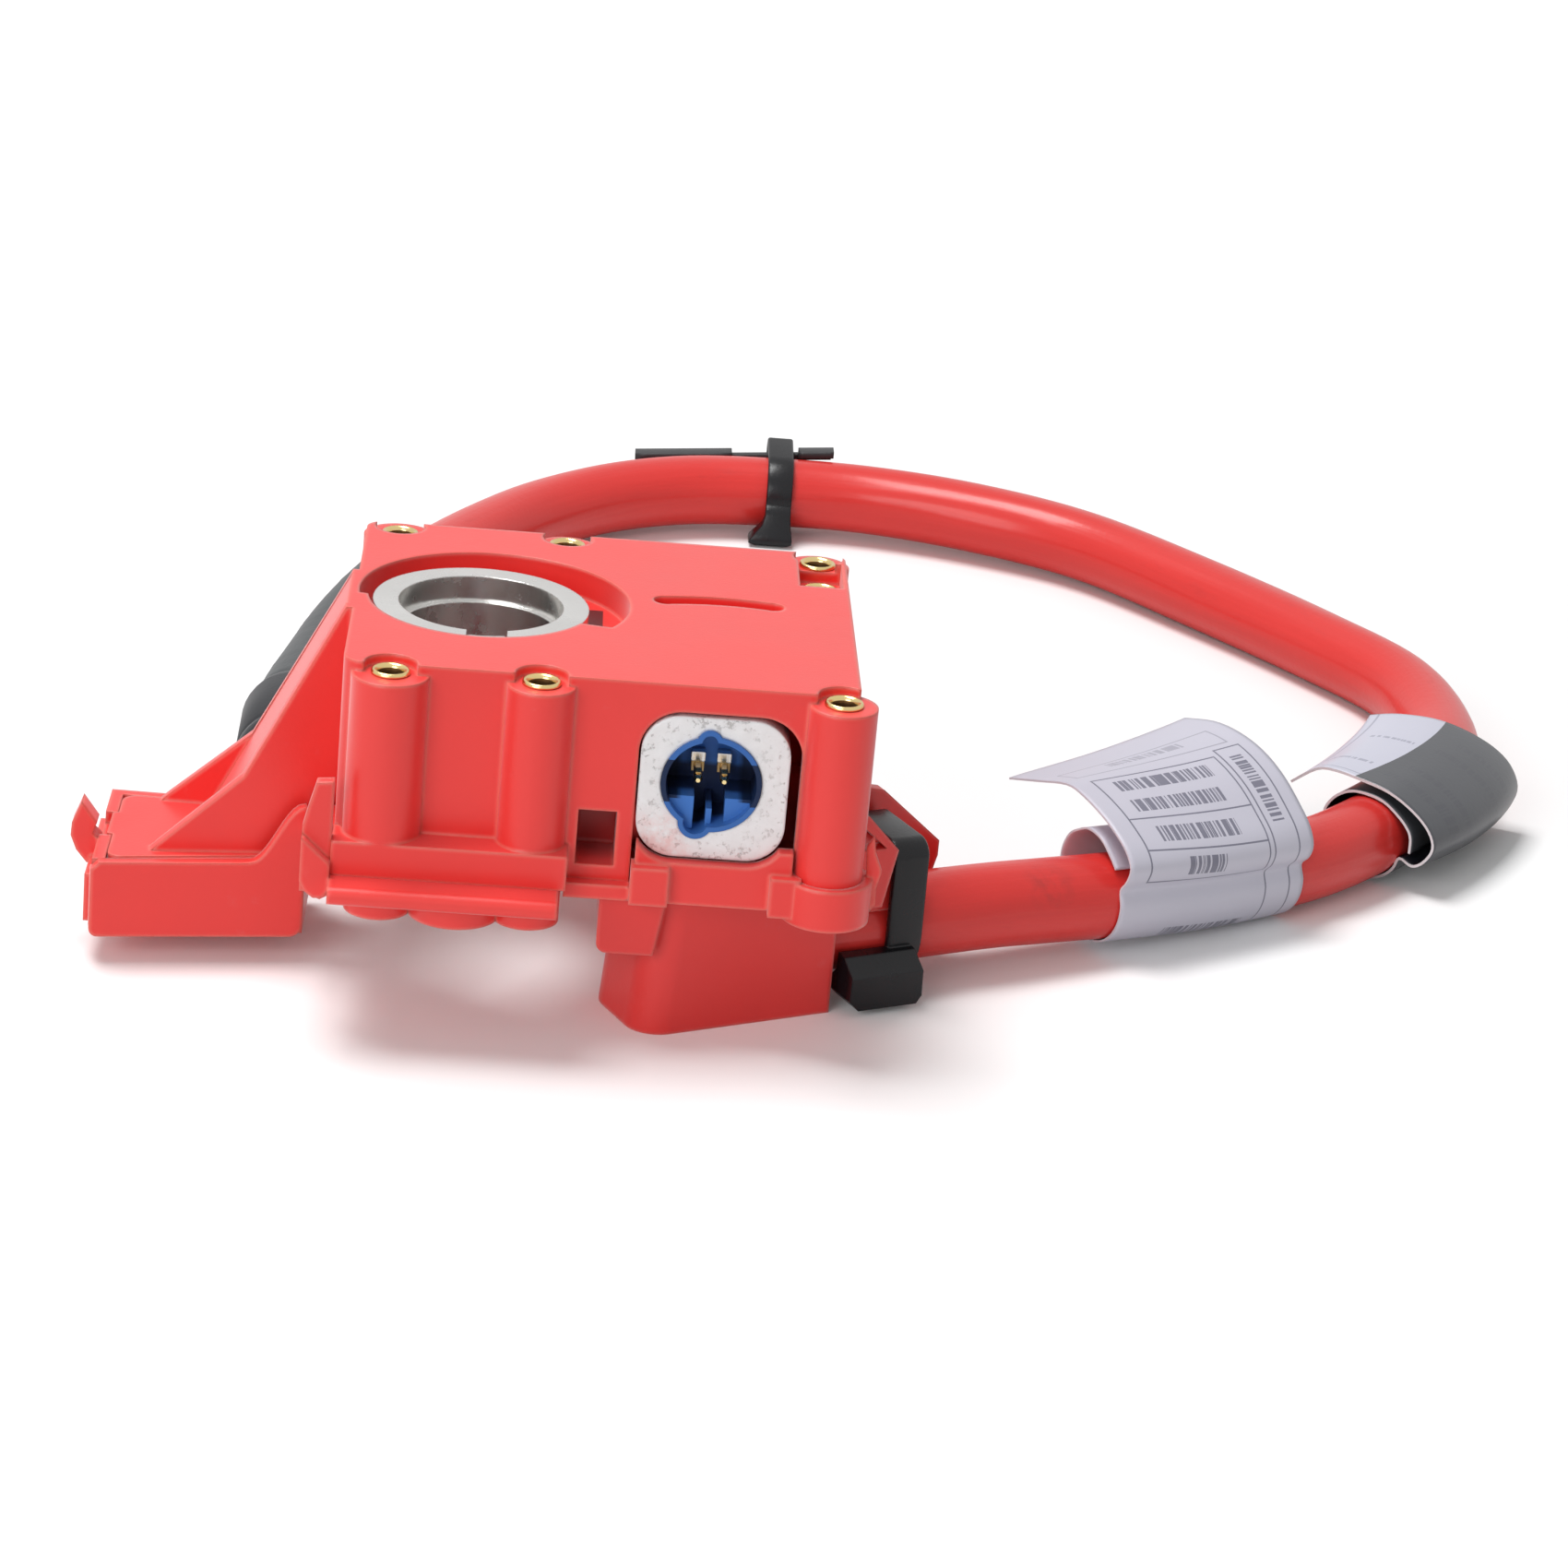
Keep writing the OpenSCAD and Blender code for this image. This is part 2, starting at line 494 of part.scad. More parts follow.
// Round socket with a key lobe above and one below on the left
module socket_outline(grow) {
  circle(socket_d / 2 + grow);
  translate([-0.5, socket_d / 2 - 0.75]) circle(1.5 + grow);
  translate([-1.5, 1.05 - socket_d / 2]) circle(2 + grow);
}

module socket_insert() {
  color([0.1, 0.25, 0.6]) lifted() translate([socket_cx, 0, socket_cz]) difference() {
    upright(fuse_front - 0.3, bar_y0 - 3.8) socket_outline(0);
    upright(fuse_front - 2, bar_y0 - 4.8) difference() {
      socket_outline(-0.6);
      // wide blocks left and right of the pins, and the key rib between them
      for (s = [-1, 1]) {
        translate([s * 3.3 - 1.5, -6]) square([3, 4]);
      }
      translate([-0.35, -6]) square([0.7, 2.6]);
    }
    // the blocks and the rib end behind the mouth
    upright(fuse_front - 2, fuse_front + 1) socket_outline(-0.6);
    for (s = [-1, 1]) {
      translate([s * pin_pitch / 2, 0, 0]) rotate([90, 0, 0]) cylinder(h = 40, r = 0.5);
    }
  }
}

module contact_pins() {
  color([0.85, 0.7, 0.35]) lifted() translate([socket_cx, 0, socket_cz]) for (s = [-1, 1]) {
    translate([s * pin_pitch / 2, bar_y0 - 3.8, 0]) rotate([90, 0, 0]) {
      cylinder(h = 6.9, r = 0.5);
      translate([0, 0, 6.9]) cylinder(h = 0.6, r1 = 0.5, r2 = 0.25);
      // shoulder at the pin's foot
      translate([-0.75, -0.6, 1]) cube([1.5, 1.2, 1.8]);
    }
  }
}

module gas_generator() {
  color([0.7, 0.7, 0.72]) lifted() translate([socket_cx, 0, socket_cz]) upright(bar_y0 - 3.8, bar_y0 - 1.8) circle(3.6);
}

module piston() {
  color([0.25, 0.25, 0.27]) lifted() translate([socket_cx, 0, socket_cz]) upright(bar_y0 - 1.8, bar_y0) circle(3.6);
}

module fuse_base() {
  color([0.3, 0.3, 0.32]) lifted() difference() {
    upright(bar_y0 + bar_t, 2) translate([fuse_cx, fuse_cz]) rounded_rect(14, 15, 2);
    // chamber that takes the cut piece of the bar
    upright(bar_y0, 0) translate([socket_cx, socket_cz]) circle(4.2);
  }
}

module hollow_rivet(top, foot) {
  difference() {
    union() {
      translate([0, 0, foot]) cylinder(h = top - foot, r = 1.7);
      // rolled rims at both ends
      translate([0, 0, top]) cylinder(h = 0.35, r = rivet_d / 2);
      translate([0, 0, top + 0.35]) cylinder(h = 0.25, r1 = rivet_d / 2, r2 = rivet_d / 2 - 0.5);
      translate([0, 0, foot - 0.4]) cylinder(h = 0.4, r = rivet_d / 2);
    }
    translate([0, 0, foot - 2]) cylinder(h = top - foot + 4, r = rivet_hole_d / 2);
  }
}

module hollow_rivets() {
  color([0.8, 0.65, 0.3]) lifted() {
    for (p = front_rivets) {
      translate([p[0], p[1], 0]) hollow_rivet(seat_z, p == front_rivets[2] ? loop_z : rivet_foot_z);
    }
    for (p = back_rivets) {
      translate([p[0], p[1], 0]) hollow_rivet(seat_z, rivet_foot_z);
    }
    translate([low_rivet[0], low_rivet[1], 0]) hollow_rivet(low_seat_z, rivet_foot_z);
  }
}

module cable_terminal() {
  color([0.75, 0.73, 0.68]) lifted() along_cable() {
    difference() {
      union() {
        translate([2.6, -3.6, -37.2]) cube([9.4, 7.2, 2]);
        translate([0, 0, cable_z]) rod_x(11.4, 18, 4.6);
      }
      translate([0, 0, cable_z]) rod_x(13, 20, 3.6);
    }
  }
}

module cable_seal() {
  color([0.1, 0.1, 0.1]) lifted() along_cable() translate([hood_in, 0, cable_z]) rotate([0, 90, 0]) tube(2.25, seal_r - 0.02, cable_r + 0.02);
}

// Sweeps an outline along stations of the cable's route, changing it into a second one if there is one.
// All faces are triangles; the caps pair the outline's two halves
module swept(stations, outline, last_outline = undef) {
  n = len(outline);
  m = len(stations);
  final = is_undef(last_outline) ? outline : last_outline;
  way = stations[m - 1] - stations[0];
  points = [for (i = stations, k = [0:n - 1]) placed(i, blended(outline[k], final[k], (i - stations[0]) / way))];
  near = [for (i = [0:m - 2], k = [0:n - 1]) [i * n + k, (i + 1) * n + k, (i + 1) * n + (k + 1) % n]];
  far = [for (i = [0:m - 2], k = [0:n - 1]) [i * n + k, (i + 1) * n + (k + 1) % n, i * n + (k + 1) % n]];
  cap_a = [for (k = [0:n / 2 - 2]) [k, k + 1, n - 2 - k]];
  cap_b = [for (k = [0:n / 2 - 2]) [k, n - 2 - k, n - 1 - k]];
  end_a = [for (f = cap_a) [f[0] + (m - 1) * n, f[2] + (m - 1) * n, f[1] + (m - 1) * n]];
  end_b = [for (f = cap_b) [f[0] + (m - 1) * n, f[2] + (m - 1) * n, f[1] + (m - 1) * n]];
  polyhedron(points, [for (f = concat(near, far, cap_a, cap_b, end_a, end_b)) if (f[0] != f[1] && f[1] != f[2] && f[0] != f[2]) f], convexity = 4);
}

// A round sleeve along the stations, as one ring-shaped body
module swept_tube(stations, ro, ri) {
  n = 12;
  m = len(stations);
  inner = m * n;
  last = (m - 1) * n;
  points = concat([for (i = stations, q = circle_points(ro, n)) placed(i, q)], [for (i = stations, q = circle_points(ri, n)) placed(i, q)]);
  sides = [for (i = [0:m - 2], k = [0:n - 1]) let (a = i * n, b = a + n, k1 = (k + 1) % n) each [
    [a + k, b + k, b + k1], [a + k, b + k1, a + k1],
    [inner + a + k, inner + b + k1, inner + b + k], [inner + a + k, inner + a + k1, inner + b + k1]
  ]];
  ends = [for (k = [0:n - 1]) let (k1 = (k + 1) % n) each [
    [k, k1, inner + k1], [k, inner + k1, inner + k],
    [last + k, inner + last + k, inner + last + k1], [last + k, inner + last + k1, last + k1]
  ]];
  polyhedron(points, concat(sides, ends), convexity = 4);
}

module power_cable() {
  color([0.85, 0.16, 0.13]) lifted() {
    swept([for (i = [0:len(route) - 1]) i], circle_points(cable_r, 12));
    // bared core in the terminal
    along_cable() translate([0, 0, cable_z]) rod_x(13.2, 18.7, 3.5);
  }
}

module white_label() {
  color([0.93, 0.93, 0.95]) lifted() swept(label_1, strip(flag_1_left, 0.4), strip(flag_1_right, 0.4));
}

module grey_label() {
  color([0.42, 0.44, 0.46]) lifted() swept(label_2, strip(flag_2_left, 0.4), strip(flag_2_right, 0.4));
}

module heat_shrink_sleeve() {
  color([0.2, 0.21, 0.22]) lifted() swept_tube([for (i = [sleeve_first:len(route) - 2]) i], cable_r + 0.8, cable_r + 0.02);
}

module end_connector() {
  far = route[len(route) - 1];
  color([0.16, 0.17, 0.18]) lifted() translate([far[0], 56, far[2]]) rotate([90, 0, 0]) difference() {
    union() {
      translate([0, 0, 0.45]) cylinder(h = 2.65, r1 = 6.6, r2 = 7);
      translate([0, 0, 3.1]) cylinder(h = 15.9, r = 7);
      translate([0, 0, 19]) cylinder(h = 2.4, r1 = 7, r2 = 5.6);
    }
    translate([0, 0, -1]) cylinder(h = 19.1, r = cable_r + 0.02);
    translate([0, 0, 10]) cylinder(h = 14, r = 4.6);
  }
}

module end_lug() {
  far = route[len(route) - 1];
  color([0.8, 0.8, 0.78]) lifted() difference() {
    union() {
      translate([far[0], 37.8, far[2]]) rotate([90, 0, 0]) cylinder(h = 10.8, r = 4.6);
      translate([far[0], 20.5, far[2] - 1.1]) cylinder(h = 2.2, r = 8);
      translate([far[0] - 5, 20.5, far[2] - 1.1]) cube([10, 7.6, 2.2]);
    }
    translate([far[0], 20.5, far[2] - 3]) cylinder(h = 6, r = 4.2);
  }
}

module housing_tie() {
  color([0.06, 0.06, 0.07]) lifted() along_cable() {
    translate([hood_l + 7.85, 0, 0]) rotate([90, 0, 90]) linear_extrude(tie_w) difference() {
      hull() {
        translate([0, cable_z]) circle(cable_r + 1.2);
        translate([-4.1, -25.8]) circle(2.4);
        translate([4, -25.8]) circle(2.4);
      }
      hull() {
        translate([0, cable_z]) circle(cable_r + 0.06);
        translate([-4.1, -25.8]) circle(1.2);
        translate([4, -25.8]) circle(1.2);
      }
    }
    // ratchet head under the cable: sloping top, cut lower corners
    translate([hood_l, 0, 0]) difference() {
      intersection() {
        upright(-11, -3) polygon([[0.4, -34.5], [11.6, -34.5], [12, -40.6], [9.6, -43.9], [3.4, -43.9], [0.6, -41.4]]);
        rotate([90, 0, 90]) linear_extrude(14) polygon([[-5.9, -35], [-7.2, -35.6], [-9.9, -38], [-9.7, -44.5], [-4.4, -44.5], [-4.4, -41.9], [-5.9, -38.6]]);
      }
      // slot for the strap's end
      translate([6, -8.6, -46]) cube([5, 1.5, 5]);
    }
  }
}

module clip_tie() {
  color([0.2, 0.2, 0.21]) lifted() {
    difference() {
      translate([clip_x - 2, clip_y, clip_z]) rotate([90, 0, 90]) linear_extrude(4) difference() {
        hull() {
          circle(cable_r + 1.05);
          translate([5.4, 5.4]) circle(1.8);
        }
        hull() {
          circle(cable_r + 0.06);
          translate([5.4, 5.4]) circle(0.85);
        }
      }
      // room for the clip that the tie holds
      translate([clip_x - 23.3, clip_y + 3.31, clip_z + 5.46]) cube([clip_l + 0.6, 2, 0.98]);
    }
    // foot of the tie on the ground in front of the cable
    translate([37.4, 162.4, -43.7]) cube([7.4, 4, 3]);
    translate([clip_x - 2, 162.8, -43.7]) cube([3.4, 2.3, 7.2]);
  }
}

module cable_clip() {
  color([0.25, 0.25, 0.26]) lifted() {
    translate([clip_x - 22.8, clip_y + 3.35, clip_z + 5.5]) cube([clip_l, 1.9, 0.9]);
    translate([clip_x - 22.8, clip_y + 0.25, clip_z + 5.5]) cube([15.6, 4, 0.9]);
    translate([clip_x + 2.9, clip_y + 0.25, clip_z + 5.5]) cube([5.7, 4, 0.9]);
  }
}

upper_shell();
lower_shell();
guard_tray();
cable_hood();
battery_clamp();
clamp_bolt();
clamp_nut();
bus_bar();
bar_rivets();
fuse_body();
fuse_base();
gas_generator();
piston();
socket_insert();
contact_pins();
hollow_rivets();
cable_terminal();
cable_seal();
power_cable();
housing_tie();
clip_tie();
cable_clip();
white_label();
grey_label();
heat_shrink_sleeve();
end_connector();
end_lug();
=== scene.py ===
# %% [markdown]
# # A fused battery cable
# The real object is a red moulded housing that sits on the positive post of a vehicle battery.
# Inside are a metal clamp, a copper bar and a fuse that a small charge can cut. A thick cable
# leaves the housing, lies in a loop on the table and ends behind it in a connector.
# The rigid parts come from CAD, already in place. This script gives them their finishes, and
# makes the pieces that CAD only blocks in: the cable, its labels, its sleeve and its connector.

# %% Load the frame
import bpy
import bmesh
import math
from mathutils import Vector, Matrix


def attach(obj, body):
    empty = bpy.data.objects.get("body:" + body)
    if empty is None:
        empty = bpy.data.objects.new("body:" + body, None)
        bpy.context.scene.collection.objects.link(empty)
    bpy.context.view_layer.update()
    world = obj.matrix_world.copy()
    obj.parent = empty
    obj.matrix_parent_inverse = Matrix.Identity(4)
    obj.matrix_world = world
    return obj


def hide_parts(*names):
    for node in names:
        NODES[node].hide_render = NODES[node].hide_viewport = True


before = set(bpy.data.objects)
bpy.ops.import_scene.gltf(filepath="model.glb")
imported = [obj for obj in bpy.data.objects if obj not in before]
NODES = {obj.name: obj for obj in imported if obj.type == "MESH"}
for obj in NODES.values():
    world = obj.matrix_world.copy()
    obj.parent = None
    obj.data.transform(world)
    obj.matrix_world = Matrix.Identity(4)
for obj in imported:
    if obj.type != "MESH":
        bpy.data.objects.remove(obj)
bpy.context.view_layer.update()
MM = 0.001

# %% [markdown]
# ## The camera
# The photograph was taken with a long lens from about half a metre, so the vertical edges lean
# very little. The camera is therefore placed by its real position in the part's frame, and
# turned by three angles: round the object, down towards it, and a small roll of the hand.
# The lens follows from the focal length in pixels, which is the unit that a camera fit gives.

# %% Camera
PHOTO_SIDE = 1700
FOCAL_PIXELS = 5000
SENSOR = 36.0
CAMERA_AT = Vector((5.98, -521.37, 201.03)) * MM
TURN, DOWN, ROLL = math.radians(3.52), math.radians(21.08), math.radians(5.36)


def camera_axes():
    """The camera's right, up and back directions in the part's frame."""
    look = Vector((math.sin(TURN) * math.cos(DOWN), math.cos(TURN) * math.cos(DOWN), -math.sin(DOWN)))
    right = Vector((math.cos(TURN), -math.sin(TURN), 0))
    up = right.cross(look)
    return (
        right * math.cos(ROLL) + up * math.sin(ROLL),
        up * math.cos(ROLL) - right * math.sin(ROLL),
        -look,
    )


def make_camera():
    data = bpy.data.cameras.new("photo_camera")
    data.sensor_width = SENSOR
    data.lens = SENSOR * FOCAL_PIXELS / PHOTO_SIDE
    data.clip_start, data.clip_end = 0.02, 20
    camera = bpy.data.objects.new("photo_camera", data)
    bpy.context.scene.collection.objects.link(camera)
    turned = Matrix(camera_axes()).transposed().to_4x4()
    camera.matrix_world = Matrix.Translation(CAMERA_AT) @ turned
    bpy.context.scene.camera = camera
    return camera


camera = make_camera()
print("lens in mm:", round(camera.data.lens, 2))

# %% [markdown]
# ## The route of the cable
# A cable as thick as a finger is stiff. It comes straight out of the housing, rests on the table
# and swings round in one wide bend. Its route is a list of given points, the same as
# in the CAD source, from the terminal inside the housing to the connector behind the side arm.
# A Catmull-Rom curve passes through all of them smoothly, and a table of the distance run so
# far lets every other piece on the cable be placed by how far along it lies.

# %% Route
RIGHT, BACK, UP = Vector((1, 0, 0)), Vector((0, 1, 0)), Vector((0, 0, 1))
RING_HEIGHT = 20
FLOOR_Z = -24 * MM
CABLE_R, CABLE_Z = 5.4, -36
HOOD_AT = (20.1, -18.1)
EXIT_ANGLE = math.radians(26.4)
HOOD_LENGTH = 24.3
HOOD_INSIDE = HOOD_LENGTH - 3.5
SPAN_STEPS = 16


def at_ring(x, y, z):
    """A place given in mm, with its height counted from the top of the clamp's ring."""
    return Vector((x, y, z + RING_HEIGHT)) * MM


def hood_axis(s):
    """A point on the cable's straight start, s mm from the hood's left end."""
    return HOOD_AT[0] + s * math.cos(EXIT_ANGLE), HOOD_AT[1] + s * math.sin(EXIT_ANGLE), CABLE_Z


ROUTE_MM = [
    hood_axis(HOOD_INSIDE - 2.2), hood_axis(HOOD_LENGTH + 0.2), hood_axis(HOOD_LENGTH + 22.7),
    (72, 8, -36.5), (81, 12.8, -37), (94.5, 21.5, -37.9), (108, 31.5, -38.1), (117, 41, -38.05),
    (125.5, 53, -38.05), (131.5, 66.5, -38.1), (134.5, 84, -38.6), (132, 103, -38.6), (122, 120, -38.6),
    (107, 139.5, -38.4), (91, 157, -38), (74, 166.2, -37.6), (57, 171, -37.5), (42, 171.3, -37.5),
    (29, 169.4, -37.6), (17, 163.4, -37.9), (6.5, 153.5, -38.3), (-2, 140.5, -38.5), (-8.5, 127, -38.3),
    (-14, 112, -37.8), (-18.5, 94, -37.7), (-21.5, 76, -37.6), (-24, 56, -37), (-24, 38, -37),
]
ROUTE = [at_ring(*point) for point in ROUTE_MM]


def smooth_line(points, steps):
    """Points along one smooth curve through the given ones, steps to each span."""
    line = []
    last = len(points) - 1
    for i in range(last):
        a, b, c, d = points[max(i - 1, 0)], points[i], points[i + 1], points[min(i + 2, last)]
        for k in range(steps):
            t = k / steps
            line.append(
                0.5 * ((2 * b) + (c - a) * t + (2 * a - 5 * b + 4 * c - d) * t * t
                       + (3 * b - a - 3 * c + d) * t * t * t)
            )
    return line + [points[-1]]


CENTRE = smooth_line(ROUTE, SPAN_STEPS)
RUN = [0.0]
for p, q in zip(CENTRE, CENTRE[1:]):
    RUN.append(RUN[-1] + (q - p).length)
print("cable length in mm:", round(RUN[-1] / MM, 1))


def along(distance):
    """The place at a distance along the cable, with its forward, left and up directions."""
    distance = min(max(distance, 0.0), RUN[-1])
    i = max(k for k in range(len(RUN) - 1) if RUN[k] <= distance)
    t = (distance - RUN[i]) / (RUN[i + 1] - RUN[i])
    place = CENTRE[i].lerp(CENTRE[i + 1], t)
    forward = (CENTRE[min(i + 3, len(CENTRE) - 1)] - CENTRE[max(i - 2, 0)]).normalized()
    left = UP.cross(forward).normalized()
    return place, forward, left, forward.cross(left)


def distance_of(station):
    """How far along the cable a station of the route is; it may lie between two points."""
    i = station * SPAN_STEPS
    low = min(int(i), len(RUN) - 2)
    return RUN[low] + (RUN[low + 1] - RUN[low]) * (i - low)


# %% [markdown]
# ## Skins over rings
# Nearly every piece here is a row of rings with a skin over it: a tube, a turned rim, a band or a
# pressed bar. One helper makes that skin. On the cable and what is round it, it also writes where
# each point lies on the unrolled skin, in millimetres round and along, because the streaks and
# scuffs of a drawn jacket run along the cable, however it bends.

# %% Skins
RING_POINTS = 36


def new_piece(name, mesh, slot, *replaced):
    """Turns a bmesh into a named piece that rides on the part, and may stand for CAD nodes."""
    bmesh.ops.recalc_face_normals(mesh, faces=mesh.faces)
    data = bpy.data.meshes.new(name)
    mesh.to_mesh(data)
    mesh.free()
    piece = bpy.data.objects.new(name, data)
    bpy.context.scene.collection.objects.link(piece)
    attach(piece, "root")
    if replaced:
        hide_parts(*replaced)
    return piece


def skin(mesh, rings, joined=False, marks=()):
    """Adds a smooth skin over rings: capped at both ends, or joined from the last to the first."""
    wrap = mesh.loops.layers.uv.new("wrap") if marks else None
    rows = [[mesh.verts.new(p) for p in ring] for ring in rings]
    made = []
    for i in range(len(rows) if joined else len(rows) - 1):
        low, high = rows[i], rows[(i + 1) % len(rows)]
        for k in range(len(low)):
            n = (k + 1) % len(low)
            face = mesh.faces.new((low[k], low[n], high[n], high[k]))
            face.smooth = True
            made.append(face)
            corners = ((i, k), (i, k + 1), (i + 1, k + 1), (i + 1, k)) if marks else ()
            for loop, (row, column) in zip(face.loops, corners):
                loop[wrap].uv = (column * 2 * math.pi * CABLE_R / len(low), marks[row % len(marks)])
    if not joined:
        mesh.faces.new(rows[0])
        mesh.faces.new(rows[-1])
    return made


def round_piece(name, rings, marks, joined, slot, node):
    """A piece of one skin, marked with the distance of each ring along the cable."""
    mesh = bmesh.new()
    skin(mesh, rings, joined, marks)
    return new_piece(name, mesh, slot, node)


def ring_round(place, left, up, radius):
    """Points round an axis, starting at the underside; radius may depend on the angle."""
    ring = []
    for k in range(RING_POINTS):
        angle = 2 * math.pi * k / RING_POINTS - math.pi / 2
        r = radius(angle) if callable(radius) else radius
        ring.append(place + (left * math.cos(angle) + up * math.sin(angle)) * r * MM)
    return ring


def ring_at(distance, radius):
    """A ring round the cable at a distance along it."""
    place, forward, left, up = along(distance)
    return ring_round(place, left, up, radius)


def turned_rings(base, axis, left, up, profile):
    """The rings of a turned shape: its profile gives steps along the axis and radii, in mm."""
    return [ring_round(base + axis * step * MM, left, up, radius) for step, radius in profile]


print("points in a ring:", RING_POINTS)

# %% [markdown]
# ## Cable
# The jacket is drawn through a round die over a bundle of strands, and the bundle's slow twist
# just shows through as a faint ripple. A curve with a bevel would give a perfect tube, so the
# rings are made one by one, each with the ripple turned a little further than the last.

# %% Cable
RING_GAP = 2.5 * MM
RIPPLE, RIPPLES_ROUND = 0.035, 6
STRAND_TURN = 1.0 / (46 * MM)


def make_cable():
    count = int(RUN[-1] / RING_GAP)
    rings, marks = [], []
    for i in range(count + 1):
        distance = RUN[-1] * i / count
        turn = 2 * math.pi * distance * STRAND_TURN

        def radius(angle):
            return CABLE_R - RIPPLE + RIPPLE * math.sin(RIPPLES_ROUND * angle + turn)
        rings.append(ring_at(distance, radius))
        marks.append(distance / MM)
    return round_piece("cable", rings, marks, False, "cable_jacket", "power_cable")


cable = make_cable()
print("cable faces:", len(cable.data.polygons))

# %% [markdown]
# ## Sleeve and connector
# Behind the side arm the cable runs through a heat-shrink sleeve, which is a soft tube: it hugs
# the jacket, thins at its ends and keeps small folds from the bend. The connector after it is a
# moulded cap with one groove near its rim. Both are one closed profile swept round the cable's axis:
# outside on the way there, inside on the way back.

# %% Sleeve and connector
SLEEVE_STATIONS = (23, 26)
SLEEVE_RINGS = 90
SLEEVE_R, SLEEVE_END_R, JACKET_GAP = 6.15, CABLE_R + 0.2, 0.03
SLEEVE_TAPER, FOLD = 1.6, 0.03
CONNECTOR_START = 0.45
CONNECTOR_PROFILE = [
    (0.0, 6.1), (0.3, 6.5), (1.6, 6.8), (2.6, 7.0), (15.4, 7.0), (15.7, 6.8), (16.5, 6.8), (16.8, 7.0),
    (17.6, 7.0), (18.4, 6.85), (20.6, 5.7), (20.9, 5.4), (20.9, 4.75), (10.0, 4.75), (9.9, 5.43), (0.0, 5.43),
]


def make_sleeve():
    first, last = (distance_of(s) for s in SLEEVE_STATIONS)
    rings, marks = [], []
    for i in range(SLEEVE_RINGS + 1):
        distance = first + (last - first) * i / SLEEVE_RINGS
        into = min(i, SLEEVE_RINGS - i) / SLEEVE_RINGS * (last - first) / MM
        grip = min(1.0, into / SLEEVE_TAPER) ** 0.5
        fold = FOLD * math.sin(into * 1.1) * math.sin(into * 0.37 + 1)

        def radius(angle):
            uneven = 0.6 + 0.4 * math.sin(angle * 2 + i * 0.2)
            return SLEEVE_END_R + (SLEEVE_R - SLEEVE_END_R) * grip + fold * uneven
        rings.append(ring_at(distance, radius))
        marks.append(distance / MM)
    for distance in (last, first):
        rings.append(ring_at(distance, CABLE_R + JACKET_GAP))
        marks.append(distance / MM)
    return round_piece("sleeve", rings, marks, True, "shrink_tube", "heat_shrink_sleeve")


def make_connector():
    start = distance_of(SLEEVE_STATIONS[1]) + CONNECTOR_START * MM
    place, forward, left, up = along(RUN[-1])
    rings = turned_rings(place - forward * (RUN[-1] - start), forward, left, up, CONNECTOR_PROFILE)
    marks = [start / MM + step for step, radius in CONNECTOR_PROFILE]
    return round_piece("connector", rings, marks, True, "connector_plastic", "end_connector")


sleeve, connector = make_sleeve(), make_connector()
print("sleeve and connector faces:", len(sleeve.data.polygons), len(connector.data.polygons))

# %% [markdown]
# ## Ties
# Two nylon ties hold the cable: one to the saddle of the housing, one to the clip at the back of
# the loop. A tie is a flat band with round edges, so its section is a rounded rectangle, carried
# round the outline of what it holds. That outline is the hull of two or three circles: in each
# direction, the circle that reaches furthest gives its point. A curve with a bevel object would
# make a band too, but rings keep it flat against what it holds, with no twist.

# %% Bands
BAND_STEPS = 96
BAND_ROUND = 0.38
GRIP_GAP = 0.07


def rounded_section(low, high, corner, steps=3):
    """Points of a rounded rectangle between two corners."""
    points = []
    for cx, cy, start in (
        (high[0] - corner, high[1] - corner, 0), (low[0] + corner, high[1] - corner, 90),
        (low[0] + corner, low[1] + corner, 180), (high[0] - corner, low[1] + corner, 270),
    ):
        for k in range(steps + 1):
            angle = math.radians(start + 90 * k / steps)
            points.append((cx + corner * math.cos(angle), cy + corner * math.sin(angle)))
    return points


def band_rings(origin, axis, across, circles, width, thickness):
    """Rings of a band round some circles, each given as (across, up, radius) in mm."""
    section = rounded_section((0, 0), (width, thickness), thickness * BAND_ROUND)
    rings = []
    for k in range(BAND_STEPS):
        angle = 2 * math.pi * k / BAND_STEPS
        turn = Vector((math.cos(angle), math.sin(angle)))
        across_mm, up_mm, radius = max(circles, key=lambda c: c[0] * turn.x + c[1] * turn.y + c[2])
        ring = []
        for a, b in section:
            n, z = across_mm + (radius + b) * turn.x, up_mm + (radius + b) * turn.y
            ring.append(origin + (axis * a + across * n + UP * z) * MM)
        rings.append(ring)
    return rings


print("rings in a band:", BAND_STEPS)

# %% [markdown]
# The housing tie's head sits in front under the cable. It is lofted from its back to its front,
# where its top slopes down, so two points of its outline take their height from the depth. A
# bevel rounds all its edges. The band goes round the cable and the two edges of the saddle.

# %% Housing tie
CABLE_WAY = Vector((math.cos(EXIT_ANGLE), math.sin(EXIT_ANGLE), 0))
CABLE_SIDE = Vector((-math.sin(EXIT_ANGLE), math.cos(EXIT_ANGLE), 0))
TIE_START, TIE_WIDTH, TIE_THICK = 7.85, 4.8, 1.12
TIE_CIRCLES = [(0, CABLE_Z, CABLE_R + GRIP_GAP), (-4.1, -25.8, 1.25), (4, -25.8, 1.25)]
TOP = None
HEAD_OUTLINE = [(1.4, TOP), (11.2, TOP), (11.3, -42.1), (10.6, -43.1), (2.6, -43.1), (1.3, -41.8)]
HEAD_DEPTHS = [(-9.9, -38.8), (-7.4, -37.0), (-5.95, -36.8), (-5.9, -38.9), (-4.4, -40.4)]
HEAD_EDGE = 0.2


